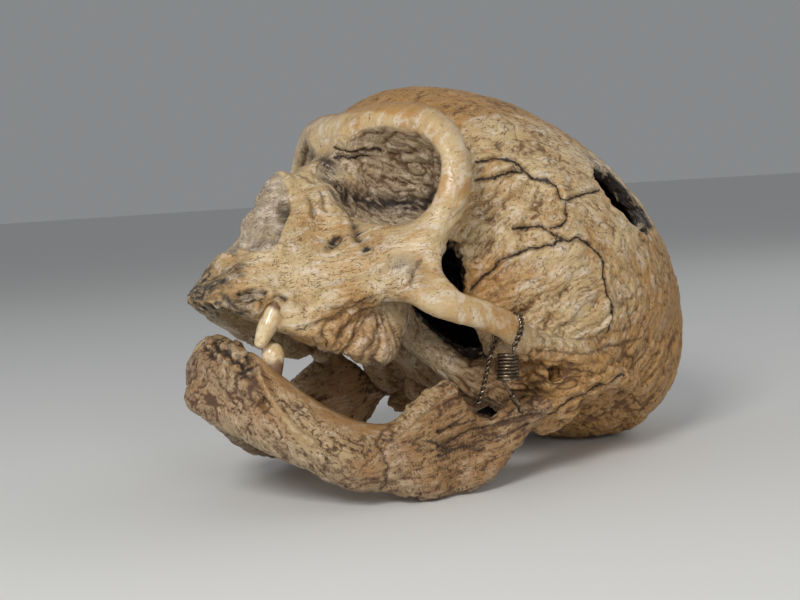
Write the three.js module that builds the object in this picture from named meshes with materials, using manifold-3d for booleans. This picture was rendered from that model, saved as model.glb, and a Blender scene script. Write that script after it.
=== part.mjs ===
// A life-size fossil skull with its lower jaw hung on by springs, lying back on the
// occiput and the angles of the jaw. All lengths are in millimetres.
//
// The bone is worked out in the skull's own axes: x forwards, y to its left, z up,
// from the middle of the line between the ear holes. The last step leans it back
// and sets it on the table, facing -Y with its left side to +X.
import * as THREE from "three";
import { edgeTable, triTable } from "three/addons/objects/MarchingCubes.js";
import { MeshoptSimplifier } from "three/addons/libs/meshopt_simplifier.module.js";
import { mergeVertices } from "three/addons/utils/BufferGeometryUtils.js";
import Module from "manifold-3d";

const wasm = await Module();
wasm.setup();
await MeshoptSimplifier.ready;

const RAD = Math.PI / 180;
const LEAN = 41.1 * RAD; // how far the skull leans back
const ROLL = -1.5 * RAD; // and to its right
const REST = [0.3, 14.65, 48.8]; // from the ear line to the part's origin, leant back
const GAP = 0.35; // between pieces that touch

const VAULT = [100, 77, 64]; // half length, breadth and height of the braincase
const VAULT_AT = [6, 0, 44];
const WALL = 7; // thickness of the braincase
const ORBIT = [26.5, 19.8, 29]; // half breadth, half height and depth of an orbit
const ORBIT_AT = [97.5, 36.5, 21.5];
const FORAMEN = [22, 15]; // half axes of the great foramen
const FORAMEN_AT = [-20, 0];
const FACE_STEP = 5; // size of the facets on the face and the base
const VAULT_STEP = 7; // and on the vault
const JAW_STEP = 4.5;
const JAW_ROLL = 2 * RAD; // the jaw hangs a little higher on the right
const BONE_SLACK = 0.7; // the facets follow the bone this closely
const TRIM = 0.08; // and each cut piece as closely as this
const WIRE = 1.1;

// --- Fields: each is a function of a point that is negative inside the bone ---

const clamp = (v, lo, hi) => Math.min(hi, Math.max(lo, v));

// Joins two distances with a fillet about k wide.
function join(a, b, k) {
  const h = clamp(0.5 + (0.5 * (b - a)) / k, 0, 1);
  return b + (a - b) * h - k * h * (1 - h);
}

const meet = (a, b, k) => -join(-a, -b, k);
const carve = (a, b, k) => meet(a, -b, k);

function egg([cx, cy, cz], [rx, ry, rz]) {
  return (x, y, z) => {
    const u = (x - cx) / rx;
    const v = (y - cy) / ry;
    const w = (z - cz) / rz;
    const near = Math.hypot(u, v, w) + 1e-6;
    return (near * (near - 1)) / (Math.hypot(u / rx, v / ry, w / rz) + 1e-9);
  };
}

// A round bar along a smooth line through points [x, y, z, radius]; the section is
// flattened along an axis whose squash is over 1.
function bar(points, squash = [1, 1, 1]) {
  const [sx, sy, sz] = squash;
  const most = Math.max(sx, sy, sz);
  const line = new THREE.CatmullRomCurve3(
    points.map(([x, y, z]) => new THREE.Vector3(x * sx, y * sy, z * sz)),
    false,
    "catmullrom",
    0.5,
  );
  const steps = 3 * (points.length - 1);
  const nodes = [];
  for (let i = 0; i <= steps; i++) {
    const at = line.getPoint(i / steps);
    const k = Math.min(Math.floor(i / 3), points.length - 2);
    const t = i / 3 - k;
    nodes.push([at.x, at.y, at.z, points[k][3] * (1 - t) + points[k + 1][3] * t]);
  }
  const box = new THREE.Box3();
  for (const [x, y, z, r] of nodes) {
    box.expandByPoint(new THREE.Vector3(x - r, y - r, z - r));
    box.expandByPoint(new THREE.Vector3(x + r, y + r, z + r));
  }
  return (x, y, z) => {
    const px = x * sx;
    const py = y * sy;
    const pz = z * sz;
    const ox = Math.max(box.min.x - px, px - box.max.x, 0);
    const oy = Math.max(box.min.y - py, py - box.max.y, 0);
    const oz = Math.max(box.min.z - pz, pz - box.max.z, 0);
    const out = Math.hypot(ox, oy, oz);
    if (out > 24 * most) return out / most;
    let best = Infinity;
    for (let i = 0; i < steps; i++) {
      const a = nodes[i];
      const b = nodes[i + 1];
      const dx = b[0] - a[0];
      const dy = b[1] - a[1];
      const dz = b[2] - a[2];
      const qx = px - a[0];
      const qy = py - a[1];
      const qz = pz - a[2];
      const along = (qx * dx + qy * dy + qz * dz) / (dx * dx + dy * dy + dz * dz + 1e-9);
      const t = clamp(along, 0, 1);
      const gap = Math.hypot(qx - dx * t, qy - dy * t, qz - dz * t);
      best = Math.min(best, gap - (a[3] + (b[3] - a[3]) * t));
    }
    return best / most;
  };
}

// The same thing on both sides of the skull.
const paired = (field) => (x, y, z) => field(x, Math.abs(y), z);

// --- Braincase ---

const dome = egg(VAULT_AT, VAULT);
const occiput = egg([-53, 0, 34], [42, 56, 36]);
const flanks = egg([0, 0, 22], [56, 68, 38]);
const forehead = egg([66, 0, 51], [41, 49, 29]);
const temples = paired(egg([70, 72, 16], [30, 20, 40]));

function vault(x, y, z) {
  let d = join(dome(x, y, z), occiput(x, y, z), 14);
  d = join(d, flanks(x, y, z), 16);
  d = join(d, forehead(x, y, z), 12);
  d = meet(d, join(x - 62, 28 - z, 10), 12);
  return carve(d, temples(x, y, z), 16);
}

// --- Orbits: an oval mouth in a tilted plane, and a bowl behind it ---

const ORBIT_AXES = new THREE.Matrix3().set(
  -0.447, 0.392, -0.9,
  0.894, 0.126, -0.42,
  0.07, 0.894, 0.08,
).invert();
const ORBIT_OUT = [0.787, 0.427, -0.405];

function orbit(x, y, z, grow = 0) {
  const at = new THREE.Vector3(x, Math.abs(y), z).sub(new THREE.Vector3(...ORBIT_AT));
  at.applyMatrix3(ORBIT_AXES);
  const u = Math.abs(at.x / (ORBIT[0] + grow)) ** 2.4;
  const v = Math.abs(at.y / (ORBIT[1] + grow)) ** 2.4;
  const w = at.z / (ORBIT[2] + grow);
  return (Math.sqrt((u + v) ** (2 / 2.4) + w * w) - 1) * (19 + grow);
}

function orbitMouth(x, y, z) {
  const p = [x, Math.abs(y), z];
  return p.reduce((sum, v, i) => sum + (v - ORBIT_AT[i]) * ORBIT_OUT[i], 0);
}

// --- Face ---

const browRidge = paired(bar([
  [107, -6, 38, 9.5], [108, 6, 39.5, 9.5], [106, 20, 43.5, 8.8], [102, 34, 46.5, 8.6],
  [96.5, 46, 45.5, 9], [90, 55.5, 39, 8.6], [85, 61, 30, 7.4], [81.5, 62, 22, 6.4],
]));
const orbitSide = paired(bar([
  [82, 61.5, 26, 6.4], [80, 60.5, 16, 6.2], [78, 57.5, 5, 7.2], [76.5, 55.5, -6, 8.5],
  [76, 55, -13, 8.2],
]));
const orbitFloor = paired(bar([
  [78, 57, 2, 6.5], [82, 51, 0, 6], [85.5, 42, -2, 6], [91, 31, -4, 6], [97, 21, -3, 6],
  [103, 14, 4, 5.6],
]));
const noseBridge = bar([
  [102, 0, 26, 8], [106.5, 0, 16, 8.5], [112, 0, 6, 7.5], [118, 0, 0, 6.8], [122, 0, -3, 5],
]);
const noseSide = paired(bar([
  [103, 8.5, 24, 6], [105, 10.5, 13, 6.5], [107, 12.5, 0, 6.5], [108, 14.5, -14, 7],
  [110, 15, -28, 8], [113, 13, -42, 9],
]));
const cheek = paired(bar([
  [80, 46, -10, 10], [86, 36, -15, 11], [91, 27, -22, 12], [96, 19, -32, 12.5],
  [102, 12, -43, 11.5],
]));
const cheekEdge = paired(bar([
  [76, 57, -14, 7], [79.5, 53, -20, 6.2], [85, 45, -27.5, 6], [89, 37, -35, 7],
]));
const toothRow = paired(bar([
  [116, -5, -54, 9], [116, 5, -54, 9], [109, 15, -52, 9], [101, 22.5, -50, 9.2],
  [91, 27.5, -47.5, 9.8], [80, 31.5, -45, 10], [69, 34.5, -42, 10], [61, 35, -38, 8.5],
]));
const tuber = paired(egg([66, 33, -28], [14.5, 12, 20]));
const noseSill = bar([[108, 0, -35, 8], [111, 0, -45, 9]]);
const faceCore = egg([80, 0, -14], [32, 28, 30]);

function face(x, y, z) {
  let d = join(browRidge(x, y, z), orbitSide(x, y, z), 4);
  const parts = [
    [orbitFloor, 6], [noseBridge, 6], [noseSide, 6], [cheek, 8], [cheekEdge, 4],
    [toothRow, 8], [tuber, 4], [noseSill, 4], [faceCore, 7],
  ];
  for (const [part, fillet] of parts) d = join(d, part(x, y, z), fillet);
  return d;
}

const zygomaticArch = paired(bar([
  [77, 58, -15, 7.5], [68, 67, -18, 7], [57, 72, -15, 6.8], [46, 73.5, -10.7, 6.6],
  [35, 73.5, -8, 6.8], [27, 72, -7.5, 7.2], [19, 69.5, -6, 7.6], [9, 65, -3, 9], [2, 62, 0, 9],
], [1, 1.5, 1.15]));

// --- Base ---

const clivus = bar([
  [-2, 0, -16, 7], [12, 0, -14, 8.5], [28, 0, -11, 10], [44, 0, -8, 13], [58, 0, -8, 13],
]);
const condyles = paired(egg([0, 15, -23], [11, 6.5, 6]));
const mastoid = paired(bar([[-18, 56, 0, 13], [-18, 54.5, -12, 10], [-16.5, 53, -22, 6.5]]));
const mastoidCrest = paired(bar([
  [8, 66.5, -1, 5], [-6, 71, 3, 4.5], [-24, 70.5, 8, 4], [-42, 65, 15, 4],
]));
const jointRidge = paired(egg([22, 55, -9], [8, 14, 6]));
const earFloor = paired(bar([[-3, 61, -5, 9], [2, 46, -12, 8.5]]));
const napeRidge = paired(bar([[-86, 0, 20, 5], [-80, 28, 20, 5], [-66, 48, 18, 4]]));

function base(x, y, z) {
  let d = join(clivus(x, y, z), condyles(x, y, z), 4);
  const parts = [
    [mastoid, 8], [mastoidCrest, 10], [jointRidge, 6], [earFloor, 5], [napeRidge, 10],
  ];
  for (const [part, fillet] of parts) d = join(d, part(x, y, z), fillet);
  return d;
}

const petrous = paired(bar([
  [47, 12, -13, 7], [30, 25, -19, 6.2], [16, 34, -21, 6.5], [2, 42, -18, 8],
]));
const pterygoid = paired(bar([[50, 17, -8, 6], [49, 20, -22, 4.6], [50, 24, -37, 4]]));

// --- Hollows ---

const noseHollow = bar([[122, 0, -1, 7], [120, 0, -10, 10], [119, 0, -20, 11.5]]);
const noseFill = bar([[119, 0, 2, 6.5], [119.5, 0, -6, 6.5], [116, 0, -18, 7], [114, 0, -28, 6]]);
const noseFillBack = egg([107, 0, -10], [14, 12.5, 20]);
const palate = egg([84, 0, -58], [28, 19, 20]);
const palateRear = egg([60, 0, -54], [26, 22, 18]);
const jawSocket = paired(egg([12, 57, -11], [8, 12, 6]));
// The left wing of the sphenoid is lost, which opens the braincase beside the arch.
const lostWing = bar([[60, 44, 8, 8.5], [54, 42, 2, 10], [44, 40, -7, 11], [30, 40, -14, 10]]);
const lostWingSide = bar([[52, 56, 4, 7], [40, 56, -8, 8], [30, 52, -18, 7]]);

function cranium(x, y, z) {
  const socket = meet(orbit(x, y, z, 5), orbitMouth(x, y, z) + 1, 3);
  let d = join(vault(x, y, z), socket, 8);
  d = join(d, face(x, y, z), 7);
  d = join(d, base(x, y, z), 7);
  d = join(d, zygomaticArch(x, y, z), 5);
  d = carve(d, orbit(x, y, z), 2.5);
  d = carve(d, noseHollow(x, y, z), 2.5);
  d = join(d, join(noseFill(x, y, z), noseFillBack(x, y, z), 8), 3);
  d = carve(d, join(palate(x, y, z), palateRear(x, y, z), 6), 4);
  d = meet(d, -61 + 0.235 * (126 - x) - z, 3);
  d = carve(d, jawSocket(x, y, z), 3);
  const solidHere = join(face(x, y, z), zygomaticArch(x, y, z), 3);
  const wing = join(lostWing(x, y, z), lostWingSide(x, y, z), 6);
  d = carve(d, meet(wing, 1 - solidHere, 3), 2);
  d = join(d, join(petrous(x, y, z), pterygoid(x, y, z), 5), 4);
  return z < 0 ? carve(d, jaw(x, y, z) - 2, 2) : d; // room for the jaw's heads
}

// --- Lower jaw ---

const JAW_TOP = [
  [102, -6, -72, 7.5], [102, 6, -72, 7.5], [96.5, 16, -74, 7.5], [85.5, 23.5, -76, 7.5],
  [71, 30, -77, 7.5], [56, 37, -76, 7.5], [41, 43, -71, 8], [30, 48, -62, 7],
];
const JAW_FOOT = [
  [99, -5, -83.5, 7], [99, 5, -83.5, 7], [94, 14, -84, 6.8], [83.5, 23, -85.5, 6.8],
  [68, 32, -86.5, 6.8], [50, 41, -85, 7.5], [34, 47, -80, 7], [19, 52, -72, 7],
];
const JAW_MIDDLE = JAW_TOP.map((top, i) => top.map((v, j) => (v + JAW_FOOT[i][j]) / 2));
const jawTop = bar(JAW_TOP);
const jawFoot = bar(JAW_FOOT);
const jawMiddle = bar(JAW_MIDDLE);
// The left half's lower edge is deeper.
const jawKeel = bar([
  [100, 2, -92, 5.5], [95, 11, -93, 6], [86, 21.5, -92.5, 6], [72, 31, -90.5, 6.2],
  [58, 39, -88, 6], [44, 44, -86.5, 5.5],
]);
// Outline of the ramus, seen from the side: coronoid, notch, condyle, angle.
const RAMUS = [
  [44, -66], [44.5, -52], [40.5, -40], [35, -32.5], [31, -31.5], [25.5, -34], [20, -36.5],
  [14.5, -37.5], [10, -35.5], [6, -30], [3, -22], [-3, -20.5], [-7.5, -24], [-8, -32],
  [-6, -46], [-4, -58], [2, -69], [11, -78], [24, -83],
];
// The right ramus has hardly a notch.
const NOTCH_SILL = [
  [40, -44], [37, -34], [30, -30.5], [18, -30], [8, -28], [4, -24], [2, -38], [14, -52],
];
const RAMUS_HALF = 4.6;
const jawHead = bar([[-1, 68, -22, 4.8], [-2, 60, -23, 5.6], [-4, 52, -24, 4.8]]);
const jawBack = bar([[0, 59, -30, 5], [-1, 57, -44, 4.6], [4, 55, -60, 5.4]]);

function outline(u, v, points) {
  let near = Infinity;
  let inside = false;
  points.forEach(([au, av], i) => {
    const [bu, bv] = points[(i + points.length - 1) % points.length];
    const du = bu - au;
    const dv = bv - av;
    const t = clamp(((u - au) * du + (v - av) * dv) / (du * du + dv * dv), 0, 1);
    near = Math.min(near, Math.hypot(u - au - du * t, v - av - dv * t));
    if (v >= av !== v >= bv && u < au + ((v - av) * du) / dv) inside = !inside;
  });
  return inside ? -near : near;
}

function jaw(x, py, pz) {
  const c = Math.cos(JAW_ROLL);
  const s = Math.sin(JAW_ROLL);
  const across = 50 + c * (py - 50) - s * (pz + 80);
  const y = Math.abs(across);
  const z = -80 + s * (py - 50) + c * (pz + 80);
  let d = join(jawTop(x, y, z), jawFoot(x, y, z), 8);
  d = join(d, jawMiddle(x, y, z), 4);
  const midline = 51 + 0.09 * (36 - x) + Math.max(0, 8 - x) * 0.35;
  let side = outline(x, z, RAMUS);
  if (across < 0) side = join(side, outline(x, z, NOTCH_SILL), 3);
  let ramus = meet(side + 1.5, Math.abs(y - midline) - RAMUS_HALF, 5);
  ramus = join(ramus, jawHead(x, y, z), 5);
  ramus = join(ramus, jawBack(x, y, z), 6);
  return join(join(d, ramus, 7), jawKeel(x, across, z), 7);
}

// --- From fields and shapes to solids ---

const CORNERS = [
  [0, 0, 0], [1, 0, 0], [1, 1, 0], [0, 1, 0], [0, 0, 1], [1, 0, 1], [1, 1, 1], [0, 1, 1],
];
const EDGES = [
  [0, 1], [1, 2], [2, 3], [3, 0], [4, 5], [5, 6], [6, 7], [7, 4], [0, 4], [1, 5], [2, 6], [3, 7],
];

function solidFrom(positions, triangles) {
  const make = (tris) => new wasm.Manifold(new wasm.Mesh({
    numProp: 3,
    vertProperties: Float32Array.from(positions),
    triVerts: Uint32Array.from(tris),
  }));
  const made = make(triangles);
  if (made.volume() > 0) return made;
  const turned = [];
  for (let i = 0; i < triangles.length; i += 3)
    turned.push(triangles[i], triangles[i + 2], triangles[i + 1]);
  return make(turned);
}

function solid(geometry) {
  const bare = new THREE.BufferGeometry();
  const loose = geometry.index ? geometry.toNonIndexed() : geometry;
  bare.setAttribute("position", loose.getAttribute("position"));
  const merged = mergeVertices(bare, 1e-4);
  return solidFrom(merged.attributes.position.array, merged.index.array);
}

// Fewer triangles, with none further than slack from where it was.
function lighter(positions, triangles, slack) {
  const [index, points] = [Uint32Array.from(triangles), Float32Array.from(positions)];
  return MeshoptSimplifier.simplify(index, points, 3, 0, slack, ["ErrorAbsolute"])[0];
}

// Facets the zero surface of a field on a grid of planes that need not be even.
function facets(field, xs, ys, zs, slack) {
  const [nx, ny] = [xs.length, ys.length];
  const index = (i, j, k) => i + nx * (j + ny * k);
  const values = new Float64Array(nx * ny * zs.length);
  for (let k = 0; k < zs.length; k++)
    for (let j = 0; j < ny; j++)
      for (let i = 0; i < nx; i++) values[index(i, j, k)] = field(xs[i], ys[j], zs[k]);
  const positions = [];
  const triangles = [];
  const known = new Map();
  const point = (a, b) => {
    const [ia, ib] = [index(...a), index(...b)];
    const key = Math.min(ia, ib) * 1e6 + Math.max(ia, ib);
    if (known.has(key)) return known.get(key);
    const from = [xs[a[0]], ys[a[1]], zs[a[2]]];
    const to = [xs[b[0]], ys[b[1]], zs[b[2]]];
    const at = (t) => from.map((v, i) => v + (to[i] - v) * t);
    let [lo, hi] = values[ia] < 0 ? [0, 1] : [1, 0];
    for (let n = 0; n < 10; n++) {
      const middle = (lo + hi) / 2;
      if (field(...at(middle)) < 0) lo = middle;
      else hi = middle;
    }
    positions.push(...at(clamp((lo + hi) / 2, 0.12, 0.88)));
    known.set(key, positions.length / 3 - 1);
    return positions.length / 3 - 1;
  };
  for (let k = 0; k + 1 < zs.length; k++)
    for (let j = 0; j + 1 < ny; j++)
      for (let i = 0; i + 1 < nx; i++) {
        const corners = CORNERS.map(([a, b, c]) => [i + a, j + b, k + c]);
        let code = 0;
        corners.forEach((at, n) => {
          if (values[index(...at)] >= 0) code |= 1 << n;
        });
        if (!edgeTable[code]) continue;
        for (let n = code * 16; triTable[n] !== -1; n++) {
          const [a, b] = EDGES[triTable[n]];
          triangles.push(point(corners[a], corners[b]));
        }
      }
  return solidFrom(positions, lighter(positions, triangles, slack));
}

// Planes from lo to hi, at one step below the turn and another above it.
function planes(lo, hi, turn, below, above) {
  const even = (a, b, step) => {
    const n = Math.max(1, Math.round((b - a) / step));
    return Array.from({ length: n }, (_, i) => a + ((b - a) * i) / n);
  };
  return [...even(lo, turn, below), ...even(turn, hi, above), hi];
}

function ball([x, y, z], [rx, ry, rz], across = 20, down = 14) {
  const shape = new THREE.SphereGeometry(1, across, down);
  return solid(shape.scale(rx, ry, rz).translate(x, y, z));
}

function block(lo, hi) {
  const size = hi.map((v, i) => v - lo[i]);
  const middle = hi.map((v, i) => (v + lo[i]) / 2);
  return solid(new THREE.BoxGeometry(...size).translate(...middle));
}

// --- Braincase and face, in one piece ---

const FACE_X = planes(-102, 134, 22, VAULT_STEP, FACE_STEP);
const FACE_Y = planes(-84, 84, 0, FACE_STEP, FACE_STEP);
const FACE_Z = planes(-69, 114, 48, FACE_STEP, VAULT_STEP);
let bone = facets(cranium, FACE_X, FACE_Y, FACE_Z, BONE_SLACK);

const hollow = (x, y, z) => carve(vault(x, y, z) + WALL, orbit(x, y, z, 4.5), 3);
const brain = facets(
  hollow,
  planes(-96, 110, 0, VAULT_STEP, VAULT_STEP),
  planes(-77, 77, 0, VAULT_STEP, VAULT_STEP),
  planes(-18, 108, 40, VAULT_STEP, VAULT_STEP),
  1.2,
);
bone = bone.subtract(brain);
bone = bone.subtract(ball([42, 28, 2], [15, 16, 12], 10, 6)); // opens into the lost wing

const foramen = new THREE.CylinderGeometry(1, 1, 40, 14).rotateX(90 * RAD);
foramen.scale(FORAMEN[0], FORAMEN[1], 1).translate(...FORAMEN_AT, -18);
bone = bone.subtract(solid(foramen));
bone = bone.subtract(ball([8, 66, 78], [21, 16, 10.5], 12, 8)); // gap in the left parietal

let lowerJaw = facets(
  jaw,
  planes(-16, 116, 50, JAW_STEP, JAW_STEP),
  planes(-80, 80, 0, JAW_STEP, JAW_STEP),
  planes(-106, -10, -50, JAW_STEP, JAW_STEP),
  BONE_SLACK,
);

// --- Sockets and the two teeth left ---

// A point of the closed jaw's own axes, where it hangs.
function onJaw(x, y, z) {
  const c = Math.cos(JAW_ROLL);
  const s = Math.sin(JAW_ROLL);
  return [x, 50 + c * (y - 50) + s * (z + 80), -80 - s * (y - 50) + c * (z + 80)];
}

// Turns a shape drawn along +Y so that it runs from one point towards another.
function aim(geometry, from, to) {
  const [a, b] = [new THREE.Vector3(...from), new THREE.Vector3(...to)];
  const along = b.clone().sub(a).normalize();
  const turn = new THREE.Quaternion().setFromUnitVectors(new THREE.Vector3(0, 1, 0), along);
  return geometry.applyQuaternion(turn).translate(...a.toArray());
}

const SOCKET = [2.6, 1.6, 7]; // radius at the rim, at the end, and depth
function socket(mouth, end) {
  const shape = new THREE.CylinderGeometry(SOCKET[1], SOCKET[0], SOCKET[2], 6);
  return solid(aim(shape.translate(0, SOCKET[2] / 2 - 1, 0), mouth, end));
}

const UPPER_SOCKETS = [[119, 6, -60], [113, 14, -58.5]];
const LOWER_SOCKETS = [[102.5, 5, -65], [98.5, 13.5, -66.5]];
for (const side of [1, -1]) {
  for (const [x, y, z] of UPPER_SOCKETS) {
    bone = bone.subtract(socket([x, side * y, z], [x - 6, side * y, z + 10]));
  }
  for (const [x, y, z] of LOWER_SOCKETS) {
    const at = onJaw(x, side * y, z);
    lowerJaw = lowerJaw.subtract(socket(at, onJaw(x - 4, side * y, z - 10)));
  }
}

// A tooth's profile from the worn tip to the end of its root: [radius, height].
const UPPER_TOOTH = [
  [0, 0], [1.9, 0.5], [3.1, 3], [3.9, 7], [3.8, 11], [3.1, 15], [2.2, 19], [0, 21],
];
const LOWER_TOOTH = [
  [0, 0], [2.6, 0.6], [4.3, 3], [4.4, 6], [3.3, 9], [2.7, 13], [1.8, 17], [0, 19],
];
function tooth(profile, tip, root, grow = 0) {
  const line = profile.map(([r, h], i) => {
    const end = i === 0 ? -grow : i === profile.length - 1 ? grow : 0;
    return new THREE.Vector2(r === 0 ? 0 : r + grow, h + end);
  });
  return solid(aim(new THREE.LatheGeometry(line, 8), tip, root));
}

const UPPER_AT = [[99.7, 24, -63.2], [102.4, 24, -47.7]];
const LOWER_AT = [[94.5, 21.5, -58.8], [85, 23, -71.5]];
const upperTooth = tooth(UPPER_TOOTH, ...UPPER_AT);
const lowerTooth = tooth(LOWER_TOOTH, ...LOWER_AT);
bone = bone.subtract(tooth(UPPER_TOOTH, ...UPPER_AT, GAP));
lowerJaw = lowerJaw.subtract(tooth(LOWER_TOOTH, ...LOWER_AT, GAP));

// --- Springs that hold the jaw up ---

// A wire along points, with flat ends.
function wire(points, radius, steps, sides = 5) {
  const line = new THREE.CatmullRomCurve3(points.map((p) => new THREE.Vector3(...p)));
  const tube = new THREE.TubeGeometry(line, steps, radius, sides, false);
  const skin = tube.getAttribute("position");
  const positions = [];
  for (let ring = 0; ring <= steps; ring++)
    for (let i = 0; i < sides; i++) {
      const at = ring * (sides + 1) + i; // the tube repeats each ring's first point
      positions.push(skin.getX(at), skin.getY(at), skin.getZ(at));
    }
  const triangles = [];
  for (let ring = 0; ring < steps; ring++)
    for (let i = 0; i < sides; i++) {
      const [a, b] = [ring * sides + i, ring * sides + ((i + 1) % sides)];
      triangles.push(a, b, a + sides, b, b + sides, a + sides);
    }
  for (let i = 1; i + 1 < sides; i++) {
    const last = steps * sides;
    triangles.push(0, i + 1, i, last, last + i, last + i + 1);
  }
  return solidFrom(positions, triangles);
}

// The same points, with both ends run on a little.
function longer(points, by) {
  const run = (end, next) => {
    const out = new THREE.Vector3(...end).sub(new THREE.Vector3(...next)).setLength(by);
    return out.add(new THREE.Vector3(...end)).toArray();
  };
  return [run(points[0], points[1]), ...points.slice(1, -1), run(points.at(-1), points.at(-2))];
}

// Points of a coil about the line from one point to another.
function coil(from, to, radius, turns, perTurn, start = 0) {
  const [a, b] = [new THREE.Vector3(...from), new THREE.Vector3(...to)];
  const along = b.clone().sub(a).normalize();
  const u = new THREE.Vector3(0, 1, 0).cross(along).normalize();
  const v = along.clone().cross(u);
  const count = Math.round(turns * perTurn);
  return Array.from({ length: count + 1 }, (_, i) => {
    const angle = (start + i / perTurn) * 2 * Math.PI;
    const at = a.clone().lerp(b, i / count);
    at.addScaledVector(u, radius * Math.cos(angle));
    return at.addScaledVector(v, radius * Math.sin(angle)).toArray();
  });
}

const springs = {};
for (const [side, word] of [[1, "left"], [-1, "right"]]) {
  const place = ([x, y, z]) => [x, side * y, z];
  const jawAt = ([x, y, z]) => onJaw(x, side * y, z);
  const barrel = coil([26.3, 74, -18.3], [20.6, 74, -26.3], 4.1, 4, 6, 0.25);
  const rear = [
    ...[[27, 65.4, -11], [27, 65.4, -4], [27, 71.5, 1], [27, 78.6, -5], [27, 78.8, -14]].map(place),
    ...barrel.map(place),
    ...[[13, 70, -28], [6, 68, -28.5], [1, 62, -29]].map(jawAt),
  ];
  const front = [place([30, 63, -8]), place([28.5, 62, -15]), jawAt([17.5, 55.5, -35]),
    jawAt([16.5, 54, -43])];
  const made = {
    [`spring_rear_${word}`]: [rear, WIRE, 44],
    [`spring_front_${word}`]: [front, 1.5, 5],
  };
  for (const [name, [points, radius, steps]] of Object.entries(made)) {
    springs[name] = wire(points, radius, steps);
    const room = wire(longer(points, GAP), radius + GAP, steps);
    bone = bone.subtract(room);
    lowerJaw = lowerJaw.subtract(room);
  }
}

// --- Sutures: thin cuts that part the bones ---

// An outline moved outwards by an even distance.
function grown(points, by) {
  const area = points.reduce((sum, [x, y], i) => {
    const [px, py] = points[(i + points.length - 1) % points.length];
    return sum + px * y - x * py;
  }, 0);
  const out = Math.sign(area) * by;
  return points.map(([x, y], i) => {
    const [ax, ay] = points[(i + points.length - 1) % points.length];
    const [bx, by2] = points[(i + 1) % points.length];
    const one = new THREE.Vector2(y - ay, ax - x).normalize();
    const two = new THREE.Vector2(by2 - y, x - bx).normalize();
    const mean = one.clone().add(two).normalize();
    const reach = out / Math.max(0.4, mean.dot(one));
    return [x + mean.x * reach, y + mean.y * reach];
  });
}

const smooth = (points, steps = 1) => {
  const line = new THREE.SplineCurve(points.map(([x, y]) => new THREE.Vector2(x, y)));
  return line.getPoints(steps * (points.length - 1)).map((p) => [p.x, p.y]);
};

// Axes of the flat outline and of its depth, for each way of looking at the skull.
const VIEWS = {
  side: [[1, 0, 0], [0, 0, 1], [0, -1, 0]],
  front: [[0, 1, 0], [0, 0, 1], [1, 0, 0]],
};
function prism(view, points, lo, hi) {
  const shape = new THREE.Shape(points.map(([u, v]) => new THREE.Vector2(u, v)));
  const geometry = new THREE.ExtrudeGeometry(shape, { depth: hi - lo, bevelEnabled: false });
  const axes = VIEWS[view].map((a) => new THREE.Vector3(...a));
  const start = view === "side" ? -hi : lo;
  geometry.translate(0, 0, start);
  return solid(geometry.applyMatrix4(new THREE.Matrix4().makeBasis(...axes)));
}

// Each region gives a solid to keep and a slightly larger one to cut away with.
function region(view, points, lo, hi) {
  return [0, GAP].map((g) => prism(view, grown(points, g), lo - g, hi + g));
}
function box(lo, hi) {
  return [0, GAP].map((g) => block(lo.map((v) => v - g), hi.map((v) => v + g)));
}
const both = ([a, b], [c, d]) => [a.add(c), b.add(d)];

const bones = {};
const biggest = (made) => made.decompose().sort((a, b) => b.volume() - a.volume())[0];
function take(name, [keep, cut]) {
  bones[name] = biggest(bone.intersect(keep));
  bone = bone.subtract(cut);
}

const LAMBDOID = smooth([
  [-66, 116], [-67, 84], [-63, 60], [-55, 34], [-49, 14], [-42, 3], [-34, -9], [-28, -20],
]);
take("occipital", both(
  region("side", [...LAMBDOID, [-28, -70], [-130, -70], [-130, 116]], -110, 110),
  box([-30, -24.5, -70], [20, 24.5, 0]),
));
const SQUAMOUS = smooth([
  [36, -32], [37, -14], [42, 2], [40, 17], [30, 31], [12, 38], [-12, 35], [-32, 24], [-56, 10],
]);
const temporal = region("side", [...SQUAMOUS, [-56, -70], [36, -70]], 24.85, 110);
const temporalArch = box([28, 58, -45], [55, 110, 4]);
const CHEEK_SUTURE = smooth([[26, 8], [30, 0], [37, -8], [45, -14], [52, -24], [54, -45]]);
const zygomatic = region("front", [...CHEEK_SUTURE, [110, -45], [110, 27], [44, 27], [38, 14]],
  66, 120);
const zygomaticArm = box([55.35, 58, -45], [67, 110, 6]);
const mirrored = (pair) => pair.map((made) => made.mirror([0, 1, 0]));
for (const word of ["left", "right"]) {
  const turn = word === "left" ? (pair) => pair : mirrored;
  take(`temporal_${word}`, turn(both(temporal, temporalArch)));
  take(`zygomatic_${word}`, turn(both(zygomatic, zygomaticArm)));
}
const CORONAL = smooth([[33, 116], [35, 98], [40, 75], [44, 52], [46, 34], [47, 22]]);
const FACE_TOP = smooth([[56, 18], [68, 20], [84, 26], [98, 24], [112, 18], [140, 14]]);
take("frontal", region("side", [...CORONAL, ...FACE_TOP, [140, 116]], -110, 110));
const sideOfCrown = [[-130, 2], [38, 2], [50, 16], [50, 118], [-130, 118]];
take("parietal_left", region("side", sideOfCrown, GAP / 2, 110));
take("parietal_right", region("side", sideOfCrown, -110, -GAP / 2));
const noseOpening = Array.from({ length: 16 }, (_, i) => {
  const angle = (i / 16) * 2 * Math.PI;
  return [12 * Math.cos(angle), -16 + 18 * Math.sin(angle)];
});
take("nasal_filling", region("front", noseOpening, 106, 140));
take("nasal_bones", region("front", [[-7, 2.5], [7, 2.5], [6, 30], [-6, 30]], 103, 140));
take("maxilla", region("side", [[62.5, 60], [62.5, -8], [53.5, -16], [53.5, -90], [150, -90],
  [150, 60]], -110, 110));
bones.sphenoid = biggest(bone);

// --- Set down on the table ---

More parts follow.
